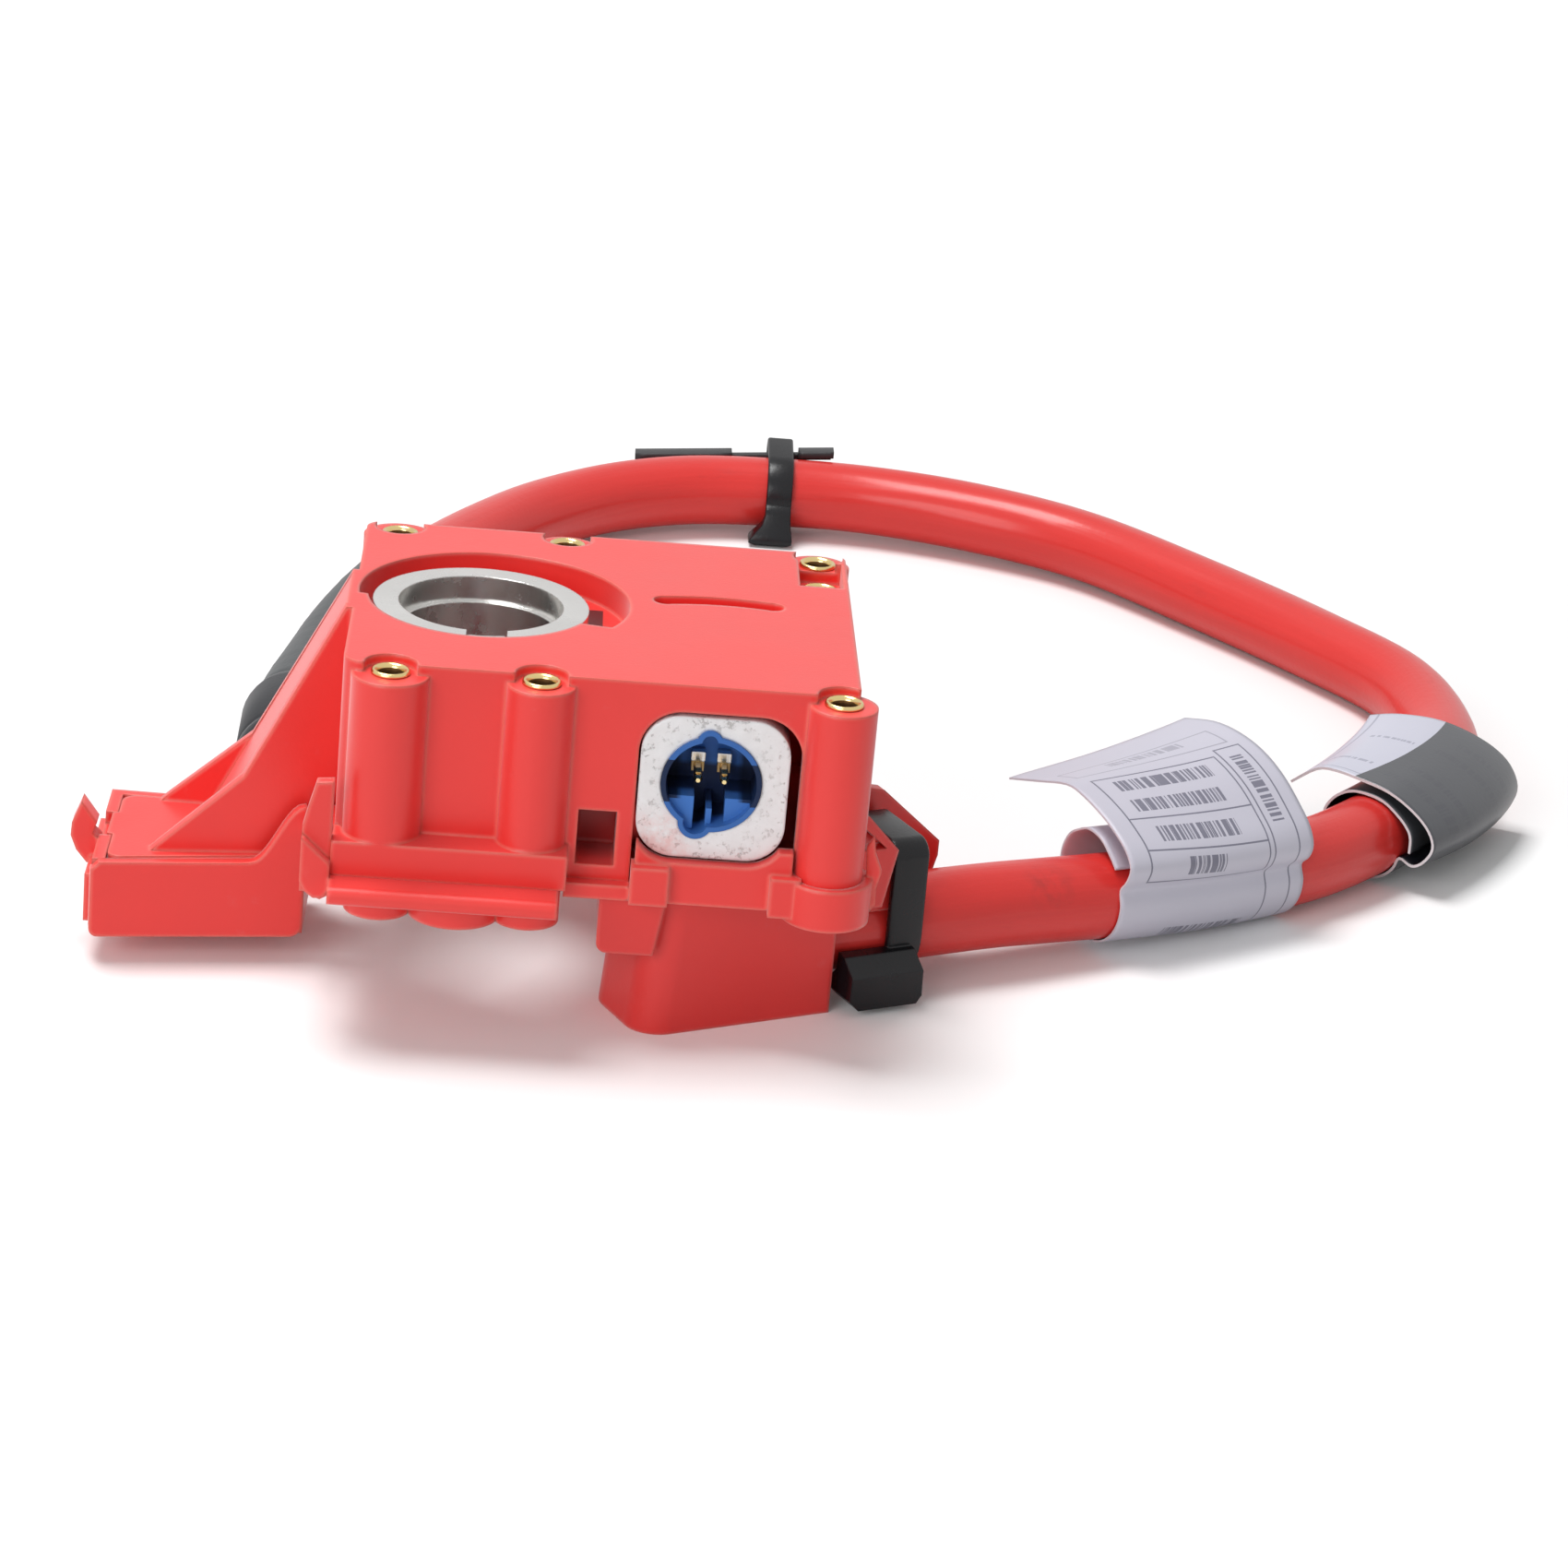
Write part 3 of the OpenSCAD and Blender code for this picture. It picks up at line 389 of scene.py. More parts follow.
def head_rings(start):
    """The outline of the head at each of its depths, its upper points at the top of that depth."""
    rings = []
    for depth, top in HEAD_DEPTHS:
        ring = []
        for s, z in HEAD_OUTLINE:
            height = top if z is TOP else z
            ring.append(start + (CABLE_WAY * s + CABLE_SIDE * depth + UP * height) * MM)
        rings.append(ring)
    return rings


def make_housing_tie():
    mesh = bmesh.new()
    start = at_ring(*HOOD_AT, 0) + CABLE_WAY * HOOD_LENGTH * MM
    skin(mesh, head_rings(start))
    bmesh.ops.recalc_face_normals(mesh, faces=mesh.faces)
    bmesh.ops.bevel(
        mesh, geom=list(mesh.edges), offset=HEAD_EDGE * MM, segments=2, affect="EDGES", clamp_overlap=True
    )
    for face in mesh.faces:
        face.smooth = False
    band_at = start + CABLE_WAY * TIE_START * MM
    band = band_rings(band_at, CABLE_WAY, CABLE_SIDE, TIE_CIRCLES, TIE_WIDTH, TIE_THICK)
    skin(mesh, band, joined=True)
    return new_piece("saddle_tie", mesh, "black_nylon", "housing_tie")


saddle_tie = make_housing_tie()
print("housing tie faces:", len(saddle_tie.data.polygons))

# %% [markdown]
# The back tie stands on a foot that flares towards the ground. It is a stack of rounded
# rectangles that grow wider downwards.

# %% Back tie
CLIP_AT = (43.3, 171.25, -37.5)
BACK_WIDTH, BACK_THICK = 4, 0.95
BACK_CIRCLES = [(0, 0, CABLE_R + GRIP_GAP), (5.4, 5.4, 0.87)]
FOOT_ROUND = 0.3
FOOT_LAYERS = [
    (-37.6, 41.35, 45.25, 164.6, 165.3), (-39.2, 41.3, 45.3, 164.0, 165.6), (-40.6, 40.9, 45.4, 163.4, 165.9),
    (-41.8, 39.9, 45.6, 162.9, 166.2), (-42.7, 39.1, 45.75, 162.5, 166.4), (-43.3, 38.95, 45.7, 162.5, 166.4),
    (-43.7, 39.6, 45.1, 163.0, 165.9),
]


def make_back_tie():
    mesh = bmesh.new()
    skin(mesh, [
        [at_ring(x, y, z) for x, y in rounded_section((x0, y0), (x1, y1), FOOT_ROUND)]
        for z, x0, x1, y0, y1 in FOOT_LAYERS
    ])
    origin = at_ring(*CLIP_AT) - RIGHT * BACK_WIDTH / 2 * MM
    skin(mesh, band_rings(origin, RIGHT, BACK, BACK_CIRCLES, BACK_WIDTH, BACK_THICK), joined=True)
    return new_piece("back_tie", mesh, "black_nylon", "clip_tie")


back_tie = make_back_tie()
print("back tie faces:", len(back_tie.data.polygons))

# %% [markdown]
# ## Hollow rivets
# The housing is closed by drawn brass tubes whose ends are rolled outwards. CAD holds them as
# tubes with flat collars. A rolled rim is what catches the light, so each rivet is turned here
# from a profile that rises inside, rolls over and comes down outside. A Screw modifier could turn
# one too, but rings put all seven into one mesh and mark the faces of their bores.

# %% Rivets
SEAT, LOW_SEAT, FOOT, LOOP_FOOT = -0.6, -2.1, -29.7, -26.9
RIVETS = [
    (-9.5, -24.8, SEAT, FOOT), (7.8, -24.8, SEAT, FOOT), (42.6, -24.8, SEAT, LOOP_FOOT),
    (-10.9, 25.3, SEAT, FOOT), (9.9, 25.3, SEAT, FOOT), (41.2, 25.1, SEAT, FOOT),
    (41.5, 19.4, LOW_SEAT, FOOT),
]
RIM = [
    (-2.4, 1.42), (-0.3, 1.44), (0.1, 1.50), (0.36, 1.64), (0.52, 1.84), (0.57, 2.02), (0.48, 2.18),
    (0.26, 2.28), (0.02, 2.28), (0.02, 1.69),
]
LOW_RIM_SHARE = 0.65
BORE_R = 1.49


def make_rivets():
    """Seven rivets; the faces inside their bores take a second, dark material that paints their shade."""
    mesh = bmesh.new()
    for x, y, seat, foot in RIVETS:
        low_rim = [(foot - h * LOW_RIM_SHARE, radius) for h, radius in reversed(RIM)]
        profile = [(seat + h, radius) for h, radius in RIM] + low_rim
        base = at_ring(x, y, 0)
        for face in skin(mesh, turned_rings(base, UP, RIGHT, BACK, profile), joined=True):
            away = face.calc_center_median() - base
            face.material_index = int(math.hypot(away.x, away.y) < BORE_R * MM)
    return new_piece("rolled_rivets", mesh, "yellow_brass", "hollow_rivets")


rivets = make_rivets()
print("rivet faces:", len(rivets.data.polygons))

# %% [markdown]
# ## Contact seats
# The two contacts end at the back wall in square tinned seats, and a flat spring leads down from
# each seat to its pin. They are small pressed parts, so each is a bar whose outline, seen from
# the front, has round corners. A bar is given by half its width, its front and back, its foot and
# top above or below the pin, and the radius of its corners.

# %% Contact seats
SOCKET_X, PIN_HALF_PITCH, PIN_HEIGHT = 28.12, 1.525, -11.2
SEAT_BARS = [(0.82, -19.85, -18.05, 0.62, 1.77, 0.15)]
SPRING_BARS = [(0.32, -20.1, -19.86, -0.5, 0.72, 0.1), (0.3, -23.6, -20.1, 0.52, 0.66, 0.05)]


def make_contacts(name, bars, slot):
    mesh = bmesh.new()
    for side in (-1, 1):
        x = SOCKET_X + side * PIN_HALF_PITCH
        for half, front, back, foot, top, corner in bars:
            outline = rounded_section((x - half, PIN_HEIGHT + foot), (x + half, PIN_HEIGHT + top), corner)
            skin(mesh, [[at_ring(a, y, b) for a, b in outline] for y in (back, front)])
    return new_piece(name, mesh, slot)


contact_seats = make_contacts("contact_seats", SEAT_BARS, "tinned_brass")
contact_springs = make_contacts("contact_springs", SPRING_BARS, "gilt_contacts")
print("contact faces:", len(contact_seats.data.polygons), len(contact_springs.data.polygons))

# %% [markdown]
# ## Lip in the slit of the clamp
# The clamp is split so that its bolt can close it. Just below the top face a thin lip bridges
# the slit. It is a short arc, made by carrying a small rounded section round the bore's axis.

# %% Clamp lip
LIP_R, LIP_Z = 11.3, -0.7
LIP_SECTION = rounded_section((-0.5, -0.5), (0.65, 0.5), 0.2)
LIP_FROM, LIP_TURN, LIP_STEPS = -96.3, 22.8, 12


def make_lip():
    rings = []
    for k in range(LIP_STEPS + 1):
        angle = math.radians(LIP_FROM + LIP_TURN * k / LIP_STEPS)
        rings.append([
            at_ring((LIP_R + a) * math.cos(angle), (LIP_R + a) * math.sin(angle), LIP_Z + b)
            for a, b in LIP_SECTION
        ])
    mesh = bmesh.new()
    skin(mesh, rings)
    return new_piece("clamp_lip", mesh, "tinned_brass")


clamp_lip = make_lip()
print("lip faces:", len(clamp_lip.data.polygons))

# %% [markdown]
# ## Clip
# Behind the tie a plastic clip lies along the cable. It has a rail and two flat pads. It leans a
# little, as a loose clip does, so its left pad lies just above the cable. Each of its parts is a
# bar whose rounded section rises step by step. A part is given by its left and right end, its
# front and back, and how far it lies below the top.

# %% Clip
CLIP_LEAN = 0.085
CLIP_LEFT, CLIP_TOP, CLIP_THICK, CLIP_ROUND = 20.55, -33.55, 1.1, 0.25
CLIP_PARTS = [
    (20.55, 35.7, 173.4, 176.4, 0.0), (46.2, 51.7, 173.4, 176.4, 0.0), (20.8, 51.4, 175.2, 176.45, -0.75),
]
CLIP_STEPS = 8


def make_clip():
    mesh = bmesh.new()
    for x0, x1, y0, y1, lower in CLIP_PARTS:
        rings = []
        for k in range(CLIP_STEPS + 1):
            x = x0 + (x1 - x0) * k / CLIP_STEPS
            top = CLIP_TOP + (x - CLIP_LEFT) * CLIP_LEAN + lower
            section = rounded_section((y0, top - CLIP_THICK), (y1, top), CLIP_ROUND)
            rings.append([at_ring(x, y, z) for y, z in section])
        skin(mesh, rings)
    return new_piece("cable_rail_clip", mesh, "grey_nylon", "cable_clip")


rail_clip = make_clip()
print("clip faces:", len(rail_clip.data.polygons))

# %% [markdown]
# ## Labels
# Each label is one strip that is wrapped round the cable and ends in a loose flag. The strip is
# stiff enough to spring off: it makes a small loop over the cable, hugs it underneath, leaves it
# again in front and curls over to the back. Its section is drawn as points across the cable,
# (left, up) in millimetres, one list for each end, and the skin between them twists from the one
# to the other. The wrapped stretch is an arc, and a smooth curve rounds off the rest. A cloth
# simulation could curl a strip as well, but drawn sections give just the curl that is wanted.

# %% Label sections
WRAP_R = CABLE_R + 0.3
WRAP_STEPS, CURVE_STEPS = 8, 4


def wrap_arc(start, end):
    """The stretch that hugs the cable, from one angle in degrees to another."""
    turns = [math.radians(start + (end - start) * k / WRAP_STEPS) for k in range(WRAP_STEPS + 1)]
    return [(WRAP_R * math.cos(a), WRAP_R * math.sin(a)) for a in turns]


WHITE_START = [
    (-3.4, 4.9), (-1.7, 6.2), (0.6, 7.5), (3.3, 7.8), (5.3, 7), (7.2, 5.6), (8.2, 3), (7.6, 0.2), (6.2, -2.4),
] + wrap_arc(-45, -208)
WHITE_LEFT = WHITE_START + [
    (-6, 4.2), (-6.4, 6.1), (-4.9, 7.9), (-1.9, 9.4), (1.4, 10.5), (5.7, 11.4), (9.4, 11.5), (15.6, 9.6),
    (21.6, 7.7),
]
WHITE_RIGHT = WHITE_START + [
    (-6.2, 4.1), (-6.6, 5.9), (-5.6, 8), (-3.6, 10), (0.1, 12.9), (4.3, 14.9), (8.8, 15.8), (13.5, 15.7),
    (18.9, 14.3),
]
GREY_START = [
    (-6.8, -0.4), (-6.7, 1.6), (-6, 2.9), (-4.3, 4.3), (-2, 5.5), (0.8, 5.8), (3.2, 5.4), (5.4, 3.8),
    (6.5, 1.3),
] + wrap_arc(-20, -165)
GREY_LEFT = GREY_START + [
    (-7.4, -2), (-9, -1), (-10.1, 1.2), (-9.2, 3.4), (-6.6, 5.4), (-2.6, 7), (2.2, 7.5), (5.6, 7.6), (8.4, 7),
    (12, 4.1),
]
GREY_RIGHT = GREY_START + [
    (-8.4, -3.9), (-10.4, -1.9), (-10.9, 0.6), (-9.5, 3.4), (-6.9, 5.5), (-3.2, 7.1), (0.6, 8), (4, 8.1),
    (7.2, 7.8), (10.2, 7.1),
]
print("points in the sections:", len(WHITE_LEFT), len(GREY_LEFT))

# %% [markdown]
# A label has three materials: its printed side, its back and its cut edges. So its mesh is two
# sheets of points half a thickness from its middle, with a row of narrow faces round the rim.
# Each point also knows where it lies on the flat strip, across it and along it from its free
# end, which is where the print will be drawn.

# %% Curled strips
STRIP_STEPS = 44
OUTER, INNER, EDGE = 0, 1, 2


def smooth_section(points):
    """The section's points joined by one smooth curve, as vectors across the cable."""
    return [v.to_2d() for v in smooth_line([Vector((x, y, 0)) for x, y in points], CURVE_STEPS)]


def strip_rows(mesh, stations, left_section, right_section, thickness):
    """The points of both sheets, row by row, and where each lies on the flat strip."""
    first, last = (distance_of(s) for s in stations)
    near, far = smooth_section(left_section), smooth_section(right_section)
    sheets, marks = ([], []), []
    for i in range(STRIP_STEPS + 1):
        t = i / STRIP_STEPS
        place, forward, left, up = along(first + (last - first) * t)
        line = [a.lerp(b, t) for a, b in zip(near, far)]
        run = [0.0]
        for a, b in zip(line[::-1], line[-2::-1]):
            run.append(run[-1] + (b - a).length)
        marks.append([((last - first) / MM * t, s) for s in reversed(run)])
        for sheet, half in zip(sheets, (thickness / 2, -thickness / 2)):
            row = []
            for k, point in enumerate(line):
                ahead = line[min(k + 1, len(line) - 1)] - line[max(k - 1, 0)]
                spot = point + Vector((-ahead.y, ahead.x)).normalized() * half
                row.append(mesh.verts.new(place + (left * spot.x + up * spot.y) * MM))
            sheet.append(row)
    return sheets, marks


def curled_strip(name, stations, left_section, right_section, thickness, slot, node):
    mesh = bmesh.new()
    wrap = mesh.loops.layers.uv.new("wrap")
    sheets, marks = strip_rows(mesh, stations, left_section, right_section, thickness)
    end_row, end_point = STRIP_STEPS, len(marks[0]) - 1

    def add_face(corners, material):
        face = mesh.faces.new([sheets[sheet][i][k] for sheet, i, k in corners])
        face.smooth = material != EDGE
        face.material_index = material
        for loop, (sheet, i, k) in zip(face.loops, corners):
            loop[wrap].uv = marks[i][k]

    for i in range(end_row):
        for k in range(end_point):
            for sheet in (OUTER, INNER):
                add_face(
                    [(sheet, i, k), (sheet, i + 1, k), (sheet, i + 1, k + 1), (sheet, i, k + 1)], sheet
                )
    rim = [((i, k), (i + 1, k)) for i in range(end_row) for k in (0, end_point)]
    rim += [((i, k), (i, k + 1)) for i in (0, end_row) for k in range(end_point)]
    for here, there in rim:
        add_face([(INNER, *here), (INNER, *there), (OUTER, *there), (OUTER, *here)], EDGE)
    return new_piece(name, mesh, slot, node)


WHITE_STATIONS, WHITE_THICK = (3.8, 5.65), 0.24
GREY_STATIONS, GREY_THICK = (7.1, 9), 0.36
white_flag = curled_strip(
    "white_flag", WHITE_STATIONS, WHITE_LEFT, WHITE_RIGHT, WHITE_THICK, "white_paper", "white_label"
)
grey_flag = curled_strip(
    "grey_flag", GREY_STATIONS, GREY_LEFT, GREY_RIGHT, GREY_THICK, "grey_paper", "grey_label"
)
print("label faces:", len(white_flag.data.polygons), len(grey_flag.data.polygons))

# %% [markdown]
# ## Where the cable leaves the hood
# The point where the cable leaves the hood lies on the axis of its straight start, at the end of
# the hood.

tuple(at_ring(*hood_axis(HOOD_LENGTH)))
print("cable runs from the hood to the connector")

# %% [markdown]
# ## Tools for finishes
# A finish is a small network of shader nodes. Written as plain calls, such a network is hard to
# read, so one class wraps an output socket and overloads the operators: a sum of two values
# then adds its own Math node.

# %% Values
class Value:
    """A number or vector that varies over a surface. Numbers can be calculated with."""

    def __init__(self, network, socket):
        self.network = network
        self.socket = socket

    def math(self, operation, first, second=0.0, clamp=False):
        return self.network.add("Math", {"operation": operation, "use_clamp": clamp}, {0: first, 1: second})

    def __add__(self, other):
        return self.math("ADD", self, other)

    def __radd__(self, other):
        return self.math("ADD", other, self)

    def __sub__(self, other):
        return self.math("SUBTRACT", self, other)

    def __rsub__(self, other):
        return self.math("SUBTRACT", other, self)

    def __mul__(self, other):
        return self.math("MULTIPLY", self, other)

    def __rmul__(self, other):
        return self.math("MULTIPLY", other, self)

    def __gt__(self, other):
        return self.math("GREATER_THAN", self, other)

    def __lt__(self, other):
        return self.math("LESS_THAN", self, other)

    def __abs__(self):
        return self.math("ABSOLUTE", self)

    def clamped(self):
        return self.math("ADD", self, 0.0, clamp=True)

    def highest(self, other):
        return self.math("MAXIMUM", self, other)


def between(value, low, high):
    """1 where a value lies between two others."""
    return (value > low) * (value < high)


def above(value, start, gain):
    """0 up to a start, then rising to 1 as fast as the gain says."""
    return ((value - start) * gain).clamped()


print("values ready")

# %% [markdown]
# Every node is added by one method, which takes its type, its settings and its inputs. The
# settings come first, because some of them change which sockets a node has.

# %% Networks
class Network:
    """A tree of shader nodes, built up node by node."""

    def __init__(self, tree):
        self.tree = tree

    def add(self, kind, settings=None, inputs=None, output=0):
        """Adds a node: its settings first, then its inputs, as values or links."""
        node = self.tree.nodes.new("ShaderNode" + kind)
        for key, value in (settings or {}).items():
            setattr(node, key, value)
        for key, value in (inputs or {}).items():
            self.feed(node.inputs[key], value)
        if isinstance(output, int):
            return Value(self, node.outputs[output])
        return [Value(self, node.outputs[key]) for key in output]

    def feed(self, slot, value):
        if isinstance(value, Value):
            self.tree.links.new(value.socket, slot)
        else:
            slot.default_value = value


print("networks ready")

# %% [markdown]
# A finish is a network round one Principled shader. Its methods name what the materials share:
# soft random clouds, a mask round a spot, a blend of two colours, and the rounded edges that CAD
# leaves sharp.

# %% Finishes
class Finish(Network):
    """One material, built up on a Principled shader."""

    def __init__(self, name, **fixed):
        self.material = bpy.data.materials.new(name)
        self.material.use_nodes = True
        super().__init__(self.material.node_tree)
        self.shader = self.tree.nodes["Principled BSDF"]
        for socket, value in fixed.items():
            self.shader.inputs[socket.replace("_", " ")].default_value = value

    def place(self):
        """Where a point is on the object, in metres."""
        return self.add("TexCoord", output=3)

    def wrap(self):
        """Where a point is on an unrolled skin, in mm: across it and along it."""
        return self.add("UVMap", {"uv_map": "wrap"})

    def split(self, vector):
        """The three numbers of a vector."""
        return self.add("SeparateXYZ", inputs={"Vector": vector}, output=(0, 1, 2))

    def noise(self, scale, detail=3.0, roughness=0.5, stretch=None, at=None):
        """Soft random clouds from 0 to 1; scale is in clouds to the metre, or to the mm on a skin."""
        at = at or self.place()
        if stretch:
            at = self.add("Mapping", inputs={"Vector": at, "Scale": stretch})
        look = {"Scale": scale, "Detail": detail, "Roughness": roughness}
        return self.add("TexNoise", inputs={"Vector": at, **look})

    def noise_of(self, number, scale, detail=1.0):
        """Soft random clouds of one number alone."""
        look = {"Scale": scale, "Detail": detail}
        return self.add("TexNoise", {"noise_dimensions": "1D"}, {"W": number, **look})

    def near(self, spot, reach):
        """1 at a spot of the object, in mm, falling to 0 at its reach."""
        away = self.add(
            "VectorMath", {"operation": "DISTANCE"}, {0: self.place(), 1: [v * MM for v in spot]}, output=1
        )
        return (1 - away * (1 / (reach * MM))).clamped()

    def inside(self, low, high):
        """1 inside a box of the object, between two corners in mm."""
        mask = 1
        for value, start, end in zip(self.split(self.place()), low, high):
            mask = between(value, start * MM, end * MM) * mask
        return mask

    def mix(self, factor, first, second):
        """Blends two colours."""
        return self.add(
            "Mix", {"data_type": "RGBA"}, {0: factor, 6: as_colour(first), 7: as_colour(second)}, output=2
        )

    def soft_edges(self, radius, samples=4):
        """The surface's direction as if its edges were rounded."""
        return self.add("Bevel", {"samples": samples}, {"Radius": radius})

    def edge_mask(self, rounded):
        """1 where an edge turns, 0 on flat faces."""
        flat = self.add("NewGeometry", output=1)
        facing = self.add("VectorMath", {"operation": "DOT_PRODUCT"}, {0: rounded, 1: flat}, output=1)
        return ((1 - facing) * 6).clamped()

    def bump(self, height, depth, normal=None, strength=1.0):
        inputs = {"Height": height, "Distance": depth, "Strength": strength}
        if normal is not None:
            inputs["Normal"] = normal
        return self.add("Bump", inputs=inputs)

    def out(self, **links):
        """Feeds the shader's sockets and returns the material."""
        for socket, value in links.items():
            self.feed(self.shader.inputs[socket.replace("_", " ")], value)
        return self.material


def as_colour(value):
    return value if isinstance(value, Value) else (*value, 1)


def dress(node, material):
    """Gives a CAD node its finish."""
    data = NODES[node].data
    data.materials.clear()
    data.materials.append(material)


print("finish tools ready")

# %% [markdown]
# ## Red housing plastic
# The housing is glass-filled nylon, dyed red in the mass. Its skin is satin: the broad light of
# the studio turns into a pale bloom on the top face. The colour is a little uneven, and handling
# leaves fine dull scuffs. Along every edge a lighter colour paints the highlight that thin,
# rounded edges catch. CAD edges are sharp, so a Bevel node rounds them in the shading, which
# also finds where they are.
# The small window in the front wall and the recess beside the ring lie deep, so a mask by place
# paints shade into each of them as a darker red.

# %% Housing plastic
# Painted shade: darker reds round the window and in the recess beside the ring.
WINDOW_AT, WINDOW_REACH, WINDOW_SHADE = (15.4, -17.6, 1.0), 6.6, (0.34, 0.008, 0.010)
RECESS_LOW, RECESS_HIGH, RECESS_SHADE = (12.4, 1.0, 16.5), (14.7, 9.0, 20.2), (0.05, 0.008, 0.010)


def housing_plastic(name, colour, edge_highlight_colour, roughness):
    finish = Finish(name, Specular_IOR_Level=0.5, Sheen_Weight=0.4, Sheen_Roughness=0.35)
    clouds = finish.noise(55, 4)
    flow = finish.noise(130, 3, 0.55, stretch=(1, 1, 0.35))
    grain = finish.noise(2600, 2)
    scuffs = above(finish.noise(210, 5, 0.65), 0.63, 8)
    rounded = finish.soft_edges(0.8 * MM, 6)
    edges = finish.edge_mask(rounded)
    body = finish.mix(clouds * 0.6 + flow * 0.4, [0.87 * c for c in colour], colour)
    tone = finish.mix(scuffs * 0.22, body, [c * 0.75 + 0.12 for c in colour])
    # painted highlight: a lighter colour along the edges
    tone = finish.mix(edges * 0.75, tone, edge_highlight_colour)
    # painted shade round the fuse's window
    window = (finish.near(WINDOW_AT, WINDOW_REACH) * 2.5).clamped()
    tone = finish.mix(window * 0.8, tone, WINDOW_SHADE)
    # painted shade in the recess beside the ring
    tone = finish.mix(finish.inside(RECESS_LOW, RECESS_HIGH), tone, RECESS_SHADE)
    return finish.out(
        Base_Color=tone, Roughness=clouds * 0.12 + scuffs * 0.12 + (roughness - 0.06),
        Normal=finish.bump(grain + flow * 2, 0.02 * MM, rounded, 0.55),
    )


shell_red = housing_plastic("shell_red", (0.86, 0.042, 0.036), (1.0, 0.23, 0.18), 0.36)
# The hood is the same plastic; its darker copy is painted shade on the hood.
hood_red_shaded = housing_plastic("hood_red_shaded", (0.77, 0.036, 0.032), (0.96, 0.16, 0.135), 0.36)
for node in ("upper_shell", "lower_shell", "guard_tray"):
    dress(node, shell_red)
dress("cable_hood", hood_red_shaded)
print("housing finished")

# %% [markdown]
# ## Turned and drawn metals
# The clamp is tinned brass. Turning leaves fine rings round its bore, so a noise of the distance
# from the axis alone is added to its bump. The rivets are drawn brass with polished rims, and the
# bar and the bolt have plain milled or zinc-plated faces.

# %% Turned metal
def metal(name, colour, roughness, turned=False):
    finish = Finish(name, Metallic=1.0)
    smear = finish.noise(140, 4)
    stains = above(finish.noise(420, 4, 0.6), 0.58, 6)
    rounded = finish.soft_edges(0.25 * MM)
    tone = finish.mix(smear, [0.80 * c for c in colour], colour)
    tone = finish.mix(stains * 0.3, tone, [0.62 * c for c in colour])
    height = finish.noise(1800, 2)
    if turned:
        flat = finish.add("Mapping", inputs={"Vector": finish.place(), "Scale": (1, 1, 0)})
        radius = finish.add("VectorMath", {"operation": "LENGTH"}, {0: flat}, output=1)
        height = height * 0.5 + finish.noise_of(radius, 5200)
    return finish.out(
        Base_Color=tone, Roughness=smear * 0.18 + stains * 0.12 + (roughness - 0.09),
        Normal=finish.bump(height, 0.02 * MM, rounded, 0.6),
    )


tinned = metal("tinned_brass", (0.84, 0.83, 0.81), 0.26, turned=True)
brass = metal("yellow_brass", (0.90, 0.70, 0.32), 0.20)
steel = metal("zinc_steel", (0.66, 0.67, 0.69), 0.34)
copper = metal("tinned_copper", (0.80, 0.74, 0.64), 0.34)
for node, material in (
    ("battery_clamp", tinned), ("end_lug", tinned), ("clamp_bolt", steel), ("clamp_nut", steel),
    ("gas_generator", steel), ("bus_bar", copper), ("cable_terminal", copper), ("bar_rivets", brass),
):
    dress(node, material)
rivets.data.materials.append(brass)
# The bore faces get a dark brown brass: painted shade deep inside each bore.
rivets.data.materials.append(metal("rivet_bore_shade", (0.16, 0.085, 0.035), 0.5))
for piece in (clamp_lip, contact_seats):
    piece.data.materials.append(tinned)
print("metals finished")

# %% [markdown]
# ## Cast fuse body
# The plate of the fuse is die-cast and barrel-tumbled, which leaves a pale speckled skin. Dark
# flecks gather near its rim, where it was pressed into the housing, and a smear of the red
# plastic was rubbed on low at its left. Both are masks by place, so they stay where they are.

# %% Cast metal
FUSE_X, FUSE_Z, FUSE_HALF = 28.4, 8.2, 8.65
SMEAR_AT, SMEAR_REACH = (22.6, -25.4, 1.2), 5.0


def cast_alloy():
    finish = Finish("cast_alloy", Specular_IOR_Level=0.55)
    x, z = finish.split(finish.place())[::2]
    off_centre = abs(x - FUSE_X * MM).highest(abs(z - FUSE_Z * MM)) * (1 / (FUSE_HALF * MM))
    rim = above(off_centre, 0.62, 3.2)
    speckle = finish.noise(620, 5, 0.7)
    flecks = above(finish.noise(1000, 4, 0.75), 0.56, 12) * (rim * 0.45 + 0.3)
    smear = (finish.near(SMEAR_AT, SMEAR_REACH) * 1.6).clamped() * above(finish.noise(420, 4, 0.65), 0.36, 4)
    rounded = finish.soft_edges(0.45 * MM)
    pale = finish.mix(speckle, (0.70, 0.69, 0.69), (0.88, 0.88, 0.89))
    tone = finish.mix(flecks, pale, (0.42, 0.41, 0.40))
    tone = finish.mix(smear * 0.5, tone, (0.78, 0.36, 0.33))
    return finish.out(
        Base_Color=tone, Metallic=0.25, Roughness=0.50 - speckle * 0.15,
        Normal=finish.bump(speckle + flecks * -1.5, 0.05 * MM, rounded),
    )


dress("fuse_body", cast_alloy())
print("fuse body finished")

# %% [markdown]
# ## Small plastics and rubber
# These parts are plain moulded or extruded: the black nylon ties, the grey clip, the connector,
# the seal and the dark parts inside the fuse. They differ only in colour, gloss, grain and how
# much painted highlight their edges get, so one function makes all their finishes. The ties are
# the smoothest, and glossy.

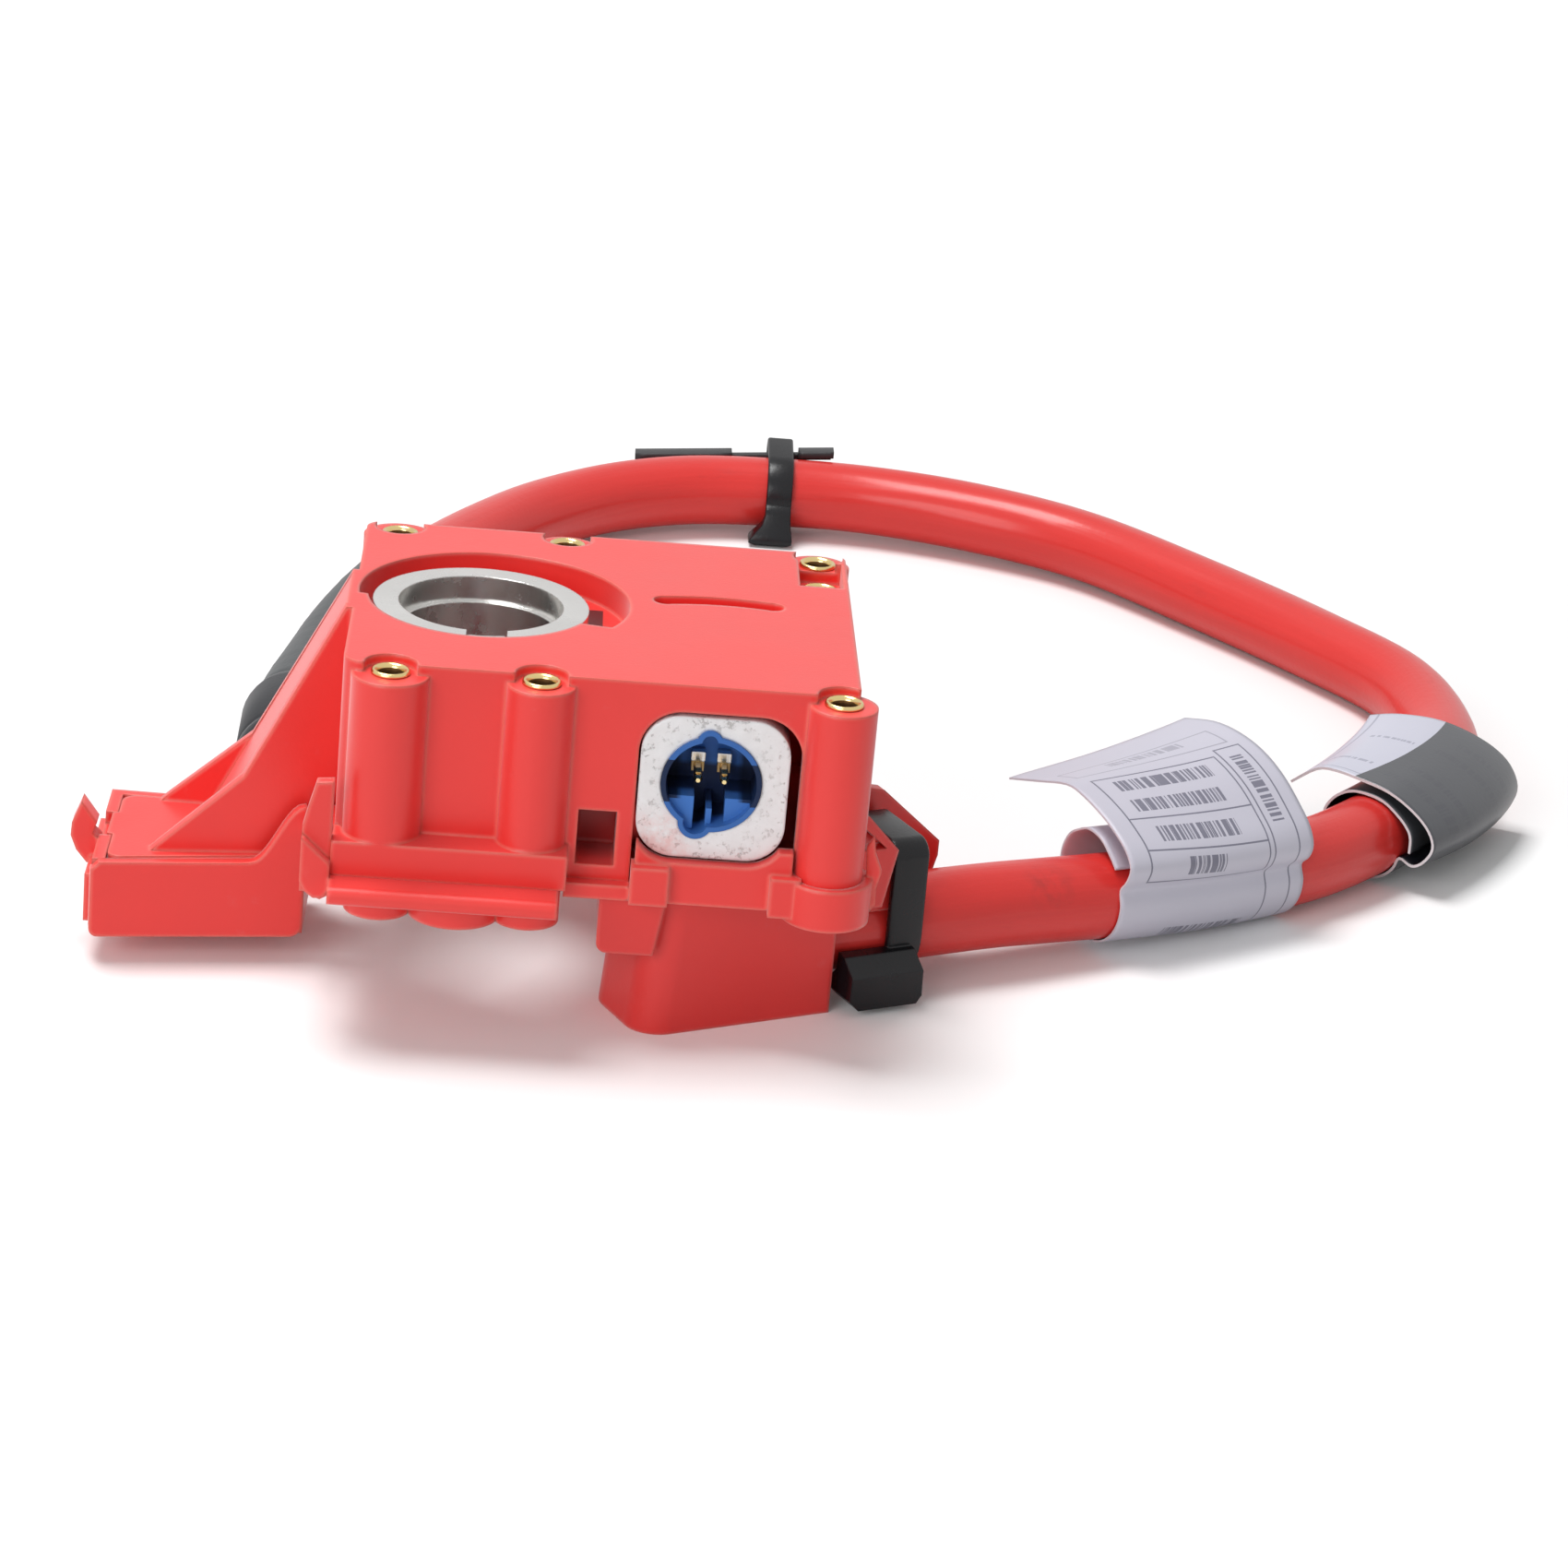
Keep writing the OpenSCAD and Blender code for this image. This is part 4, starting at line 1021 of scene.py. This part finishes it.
# %% Plastics
def moulded(name, colour, roughness, grain_depth=0.02, variation=0.25, edge_highlight_share=0.35):
    finish = Finish(name, Specular_IOR_Level=0.36)
    clouds = finish.noise(160, 3)
    rounded = finish.soft_edges(0.3 * MM)
    tone = finish.mix(clouds, [(1 - variation) * c for c in colour], colour)
    # painted highlight: a lighter colour along the edges
    tone = finish.mix(finish.edge_mask(rounded) * edge_highlight_share, tone, [min(1, c * 1.8 + 0.02) for c in colour])
    return finish.out(
        Base_Color=tone, Roughness=clouds * 0.12 + (roughness - 0.06),
        Normal=finish.bump(finish.noise(2400, 2), grain_depth * MM, rounded),
    )


nylon = moulded("black_nylon", (0.007, 0.007, 0.009), 0.27, edge_highlight_share=0.15)
clip_grey = moulded("clip_grey", (0.030, 0.030, 0.033), 0.42)
connector_grey = moulded("connector_grey", (0.019, 0.020, 0.024), 0.42, grain_depth=0.04)
rubber = moulded("seal_rubber", (0.02, 0.02, 0.02), 0.7)
dark = moulded("dark_plastic", (0.045, 0.045, 0.05), 0.5)
for node, material in (("cable_seal", rubber), ("piston", dark), ("fuse_base", dark)):
    dress(node, material)
for piece, material in (
    (saddle_tie, nylon), (back_tie, nylon), (rail_clip, clip_grey), (connector, connector_grey),
):
    piece.data.materials.append(material)
print("plastics finished")

# %% [markdown]
# ## Socket and contacts
# The blue insert of the igniter socket has a darker rim. Painted shade makes it nearly black at
# its sides and deep in its mouth, where its contacts stand. The contacts have gilt tips and brown
# lacquered stems, and painted shade darkens their feet. Each of these is a mask by place again,
# with a steep gain where the change is sharp.

# %% Socket and contacts
SOCKET_Z = 8.9
MOUTH_Y, INSERT_FRONT_Y = -22.6, -25.45
SIDE_AT, SIDE_LOW, SIDE_HIGH = 3.2, 6.4, 11.6
TIP_Y, FOOT_Y = -23.6, -19.85


def socket_blue():
    finish = Finish("socket_blue", Specular_IOR_Level=0.18)
    clouds = finish.noise(300, 3)
    x, y, z = finish.split(finish.place())
    deep = above(y, MOUTH_Y * MM, 900)
    low = ((SOCKET_Z * MM - z) * 1600).clamped()
    rim = ((INSERT_FRONT_Y * MM - y) * 9000).clamped()
    side = above(abs(x - SOCKET_X * MM), SIDE_AT * MM, 1400) * between(z, SIDE_LOW * MM, SIDE_HIGH * MM)
    tone = finish.mix(clouds * 0.4, (0.062, 0.200, 0.58), (0.045, 0.150, 0.46))
    # painted shade deep in the mouth, below its middle
    tone = finish.mix(deep * low, tone, (0.018, 0.034, 0.100))
    tone = finish.mix(rim * 0.3, tone, (0.010, 0.036, 0.150))
    # painted shade at the sides of the insert
    tone = finish.mix(side * 0.9, tone, (0.008, 0.012, 0.032))
    return finish.out(Base_Color=tone, Roughness=clouds * 0.1 + 0.30, Normal=finish.soft_edges(0.15 * MM))


def contact_metal():
    finish = Finish("contact_metal", Metallic=1.0)
    y = finish.split(finish.place())[1]
    tip = ((TIP_Y * MM - y) * 4000).clamped()
    foot = above(y, FOOT_Y * MM, 9000)
    tone = finish.mix(finish.noise(500, 3), (0.52, 0.33, 0.12), (0.66, 0.46, 0.20))
    # painted shade on the feet, deep in the socket
    tone = finish.mix(foot * 0.9, tone, (0.020, 0.022, 0.040))
    tone = finish.mix(tip, tone, (0.95, 0.76, 0.38))
    return finish.out(Base_Color=tone, Roughness=0.30 - tip * 0.1, Normal=finish.soft_edges(0.1 * MM))


contacts = contact_metal()
dress("socket_insert", socket_blue())
dress("contact_pins", contacts)
contact_springs.data.materials.append(contacts)
print("socket and contacts finished")

# %% [markdown]
# ## Cable jacket and sleeve
# The jacket is soft red plastic that was drawn through a die, so its marks run lengthwise: fine
# streaks in its gloss, and dark scuffs where it was handled. The noise is taken on the unrolled
# skin and stretched along it. One faint smudge of soot lies between the tie and the first label.
# The sleeve is a dull grey polymer that is paler where it is stretched.

# %% Jacket and sleeve
SOOT_AT, SOOT_REACH = (72.8, 3.2, -11.8), 4.4


def cable_jacket():
    finish = Finish("cable_jacket", Specular_IOR_Level=0.28, Coat_Weight=0.3, Coat_Roughness=0.16)
    clouds = finish.noise(38, 3)
    streaks = finish.noise(1.0, 4, 0.6, stretch=(1.1, 0.035, 1), at=finish.wrap())
    scuffs = above(finish.noise(1.0, 5, 0.62, stretch=(0.22, 0.07, 1), at=finish.wrap()), 0.60, 7)
    tone = finish.mix(clouds * 0.5 + streaks * 0.5, (0.60, 0.026, 0.022), (0.74, 0.040, 0.034))
    tone = finish.mix(scuffs * 0.22, tone, (0.36, 0.03, 0.03))
    soot = finish.near(SOOT_AT, SOOT_REACH) * above(finish.noise(330, 4, 0.6), 0.40, 4)
    tone = finish.mix((soot * 1.3).clamped() * 0.42, tone, (0.10, 0.030, 0.028))
    return finish.out(
        Base_Color=tone, Roughness=clouds * 0.08 + streaks * 0.10 + scuffs * 0.1 + 0.24,
        Normal=finish.bump(streaks * 2 + finish.noise(900, 3), 0.03 * MM),
    )


def shrunk_sleeve():
    finish = Finish("shrunk_sleeve", Specular_IOR_Level=0.5)
    folds = finish.noise(1.0, 4, 0.6, stretch=(0.35, 0.10, 1), at=finish.wrap())
    grain = finish.noise(1500, 3)
    tone = finish.mix(folds, (0.032, 0.035, 0.038), (0.058, 0.064, 0.067))
    return finish.out(
        Base_Color=tone, Roughness=folds * 0.12 + 0.38, Normal=finish.bump(folds * 3 + grain, 0.04 * MM)
    )


cable.data.materials.append(cable_jacket())
sleeve.data.materials.append(shrunk_sleeve())
print("jacket and sleeve finished")

# %% [markdown]
# ## Label print
# Print is drawn on the unrolled strip: a ruled box is the difference of two rectangles, and a row
# of print is left generic, as plain upright strokes from a noise that varies only along the row.
# Each row is given by its start and end, its middle line, its height and a seed.

# %% Print tools
LINE = 0.24


def rectangle(across, along_strip, low, high, grow=0.0):
    """1 inside a rectangle of the strip, between two corners in mm."""
    in_width = between(across, low[0] - grow, high[0] + grow)
    return in_width * between(along_strip, low[1] - grow, high[1] + grow)


def box(across, along_strip, low, high):
    """The ruled outline of a rectangle."""
    outside, hollow = (rectangle(across, along_strip, low, high, grow) for grow in (LINE / 2, -LINE / 2))
    return outside - hollow


def strokes(finish, reading, other, row, density=2.2):
    """A row of upright strokes along one direction of the strip."""
    start, end, middle, height, seed = row
    stroke = finish.noise_of(reading + seed * 7.3, density) > 0.47
    return stroke * rectangle(reading, other, (start, middle - height / 2), (end, middle + height / 2))


def film(name, light, dark_tone):
    """The start of a label's finish: its network, its uneven tone and its bump."""
    finish = Finish(name, Specular_IOR_Level=0.5)
    tone = finish.mix(finish.noise(120, 4), dark_tone, light)
    return finish, tone, finish.bump(finish.noise(1600, 3), 0.015 * MM)


def plain_film(name, light, dark_tone, roughness):
    finish, tone, grain = film(name, light, dark_tone)
    return finish.out(Base_Color=tone, Roughness=roughness, Normal=grain)


print("print tools ready")

# %% [markdown]
# The white label is thermal film, with two ruled boxes, rows of print in and under them, and a
# pale row near its free end. One row runs along the strip, in the narrow box.

# %% White label
WHITE_BOXES = [((3.0, 13.8), (22.3, 32.2)), ((23.2, 12.6), (27.3, 46.5))]
FAINT_BOX = ((2.6, 7.4), (26.4, 11.5))
DIVIDERS, DIVIDER_START, DIVIDER_END = (22.6, 27.8), 3.0, 22.3
UNDERLINE, UNDERLINE_START, UNDERLINE_END = 42.7, 2.4, 21.5
FAINT_ROW = (8.9, 20.8, 9.0, 1.7, 1)
WHITE_ROWS = [
    (5.2, 20.0, 16.0, 2.3, 2), (5.2, 19.3, 20.2, 2.3, 3), (6.0, 18.5, 25.3, 2.5, 4),
    (9.0, 15.0, 30.0, 2.4, 5), (8.0, 21.0, 40.6, 2.2, 6),
]
UPRIGHT_ROW = (14.5, 25.5, 25.2, 1.9, 7)


def white_print():
    finish, tone, grain = film("white_film", (0.55, 0.54, 0.62), (0.52, 0.51, 0.59))
    t, s = finish.split(finish.wrap())[:2]
    faint = box(t, s, *FAINT_BOX).highest(strokes(finish, t, s, FAINT_ROW) * 0.9)
    ink = strokes(finish, s, t, UPRIGHT_ROW)
    for low, high in WHITE_BOXES:
        ink = ink.highest(box(t, s, low, high))
    for divider in DIVIDERS:
        ink = ink.highest(between(t, DIVIDER_START, DIVIDER_END) * (abs(s - divider) < LINE / 2))
    for row in WHITE_ROWS:
        ink = ink.highest(strokes(finish, t, s, row))
    ink = ink.highest(between(t, UNDERLINE_START, UNDERLINE_END) * (abs(s - UNDERLINE) < LINE / 2))
    inked = finish.mix((ink * 0.74).highest(faint * 0.4), tone, (0.060, 0.060, 0.105))
    return finish.out(Base_Color=inked, Roughness=0.42 - ink * 0.08, Normal=grain)


# The film's back gets a pink, light colour: painted reflection of the red cable and painted light on the
# curled flap.
for material in (
    white_print(), plain_film("film_back_painted_reflection", (0.84, 0.74, 0.82), (0.76, 0.67, 0.74), 0.5),
    plain_film("film_edge", (0.64, 0.63, 0.68), (0.60, 0.59, 0.64), 0.5),
):
    white_flag.data.materials.append(material)
print("white label printed")

# %% [markdown]
# The grey label is a foil laminate with a white end, a black back and a white core that shows at
# its cut edges. Its print is faint on the grey, and small rows and two thin lines stand on the
# white end.

# %% Grey label
WHITE_END = 10.4
GREY_ROWS = [
    (12.0, 20.0, 4.5, 1.6, 11), (13.0, 26.0, 9.0, 1.5, 12), (12.5, 27.0, 17.4, 1.6, 13),
    (20.0, 31.0, 5.2, 2.4, 14), (14.0, 24.0, 22.0, 1.5, 15),
]
END_ROWS, END_DENSITY = [(3.4, 9.6, 17.0, 0.8, 16), (2.4, 9.2, 6.0, 0.8, 17)], 2.4
END_LINE_AT, ALONG_HALF, ACROSS_HALF = 1.3, 0.16, 0.12


def grey_print():
    finish, tone, grain = film("grey_foil", (0.084, 0.087, 0.097), (0.066, 0.069, 0.078))
    t, s = finish.split(finish.wrap())[:2]
    on_white = s < WHITE_END
    print_on_grey = strokes(finish, s, t, GREY_ROWS[0])
    for row in GREY_ROWS[1:]:
        print_on_grey = print_on_grey.highest(strokes(finish, s, t, row))
    ink = (abs(s - END_LINE_AT) < ALONG_HALF).highest(abs(t - END_LINE_AT) < ACROSS_HALF)
    for row in END_ROWS:
        ink = ink.highest(strokes(finish, s, t, row, END_DENSITY))
    greyed = finish.mix(print_on_grey * 0.32, tone, (0.05, 0.05, 0.065))
    whitened = finish.mix(ink * 0.5, (0.56, 0.56, 0.65), (0.16, 0.16, 0.24))
    return finish.out(
        Base_Color=finish.mix(on_white, greyed, whitened), Roughness=on_white * 0.08 + 0.31, Normal=grain
    )


for material in (
    grey_print(), plain_film("foil_back", (0.016, 0.018, 0.026), (0.010, 0.011, 0.016), 0.35),
    plain_film("foil_core", (0.72, 0.70, 0.72), (0.66, 0.64, 0.66), 0.5),
):
    grey_flag.data.materials.append(material)
print("grey label printed")

# %% [markdown]
# ## Floor
# The photograph is a product shot on white. The floor is a pale plane that keeps the soft
# shadow. Its colour is lifted only for the camera, and far from the object, where little lamp
# light falls, it also glows for the camera alone. So the picture's ground is white and the lamps
# can stay at a plain level.

# %% Floor
FLOOR_HALF = 4.0
GLOW_AT, GLOW_REACH, GLOW = (50, 70, -24), 1500, 1.25


def make_floor():
    data = bpy.data.meshes.new("floor")
    corners = [(x * FLOOR_HALF, y * FLOOR_HALF, FLOOR_Z) for x, y in ((-1, -1), (1, -1), (1, 1), (-1, 1))]
    data.from_pydata(corners, [], [(0, 1, 2, 3)])
    floor = bpy.data.objects.new("floor", data)
    bpy.context.scene.collection.objects.link(floor)
    finish = Finish("pale_floor", Roughness=0.7, Specular_IOR_Level=0.2, Emission_Strength=GLOW)
    seen = finish.add("LightPath", output=0)
    outside = ((1 - finish.near(GLOW_AT, GLOW_REACH)) * 1.5 - 0.15).clamped()
    data.materials.append(finish.out(
        Base_Color=finish.mix(seen, (0.78, 0.77, 0.77), (0.93, 0.93, 0.93)),
        Emission_Color=finish.mix(seen * (outside * 0.96 + 0.024), (0, 0, 0), (1, 1, 1)),
    ))
    return floor


floor = make_floor()
print("floor faces:", len(floor.data.polygons))

# %% [markdown]
# ## Lamps and background
# One broad lamp hangs above, a little behind and to the left, and a weak one fills the front.
# The world is white for the camera, a little dimmer in reflections and dimmer again as a light,
# so that the shadows keep their depth.

# %% Lamps and background
LAMPS = [
    ("overhead", (-0.26, 0.14, 0.95), (0.03, 0.02, 0), (0.5, 0.42), 8.3),
    ("front_fill", (-0.55, -0.9, 0.45), (0.03, 0.0, 0), (0.7, 0.6), 5.2),
]
WORLD_IN_REFLECTIONS, WORLD_AS_LIGHT = 0.72, 0.36


def make_lamp(name, place, aim, size, power):
    data = bpy.data.lights.new(name, "AREA")
    data.shape, data.size, data.size_y, data.energy = "RECTANGLE", size[0], size[1], power
    lamp = bpy.data.objects.new(name, data)
    bpy.context.scene.collection.objects.link(lamp)
    lamp.location = place
    lamp.rotation_euler = (Vector(aim) - Vector(place)).to_track_quat("-Z", "Y").to_euler()
    return lamp


def make_world():
    world = bpy.data.worlds.new("studio")
    bpy.context.scene.world = world
    world.use_nodes = True
    network = Network(world.node_tree)
    background = world.node_tree.nodes["Background"]
    background.inputs["Color"].default_value = (1, 1, 1, 1)
    camera_ray, glossy, through = network.add(
        "LightPath", output=("Is Camera Ray", "Is Glossy Ray", "Is Transmission Ray")
    )
    seen = camera_ray.highest(glossy * WORLD_IN_REFLECTIONS).highest(through)
    network.feed(background.inputs["Strength"], seen + (1 - seen) * WORLD_AS_LIGHT)


for lamp in LAMPS:
    make_lamp(*lamp)
make_world()
bpy.context.scene.view_settings.view_transform = "Standard"
print("lamps:", len(LAMPS))
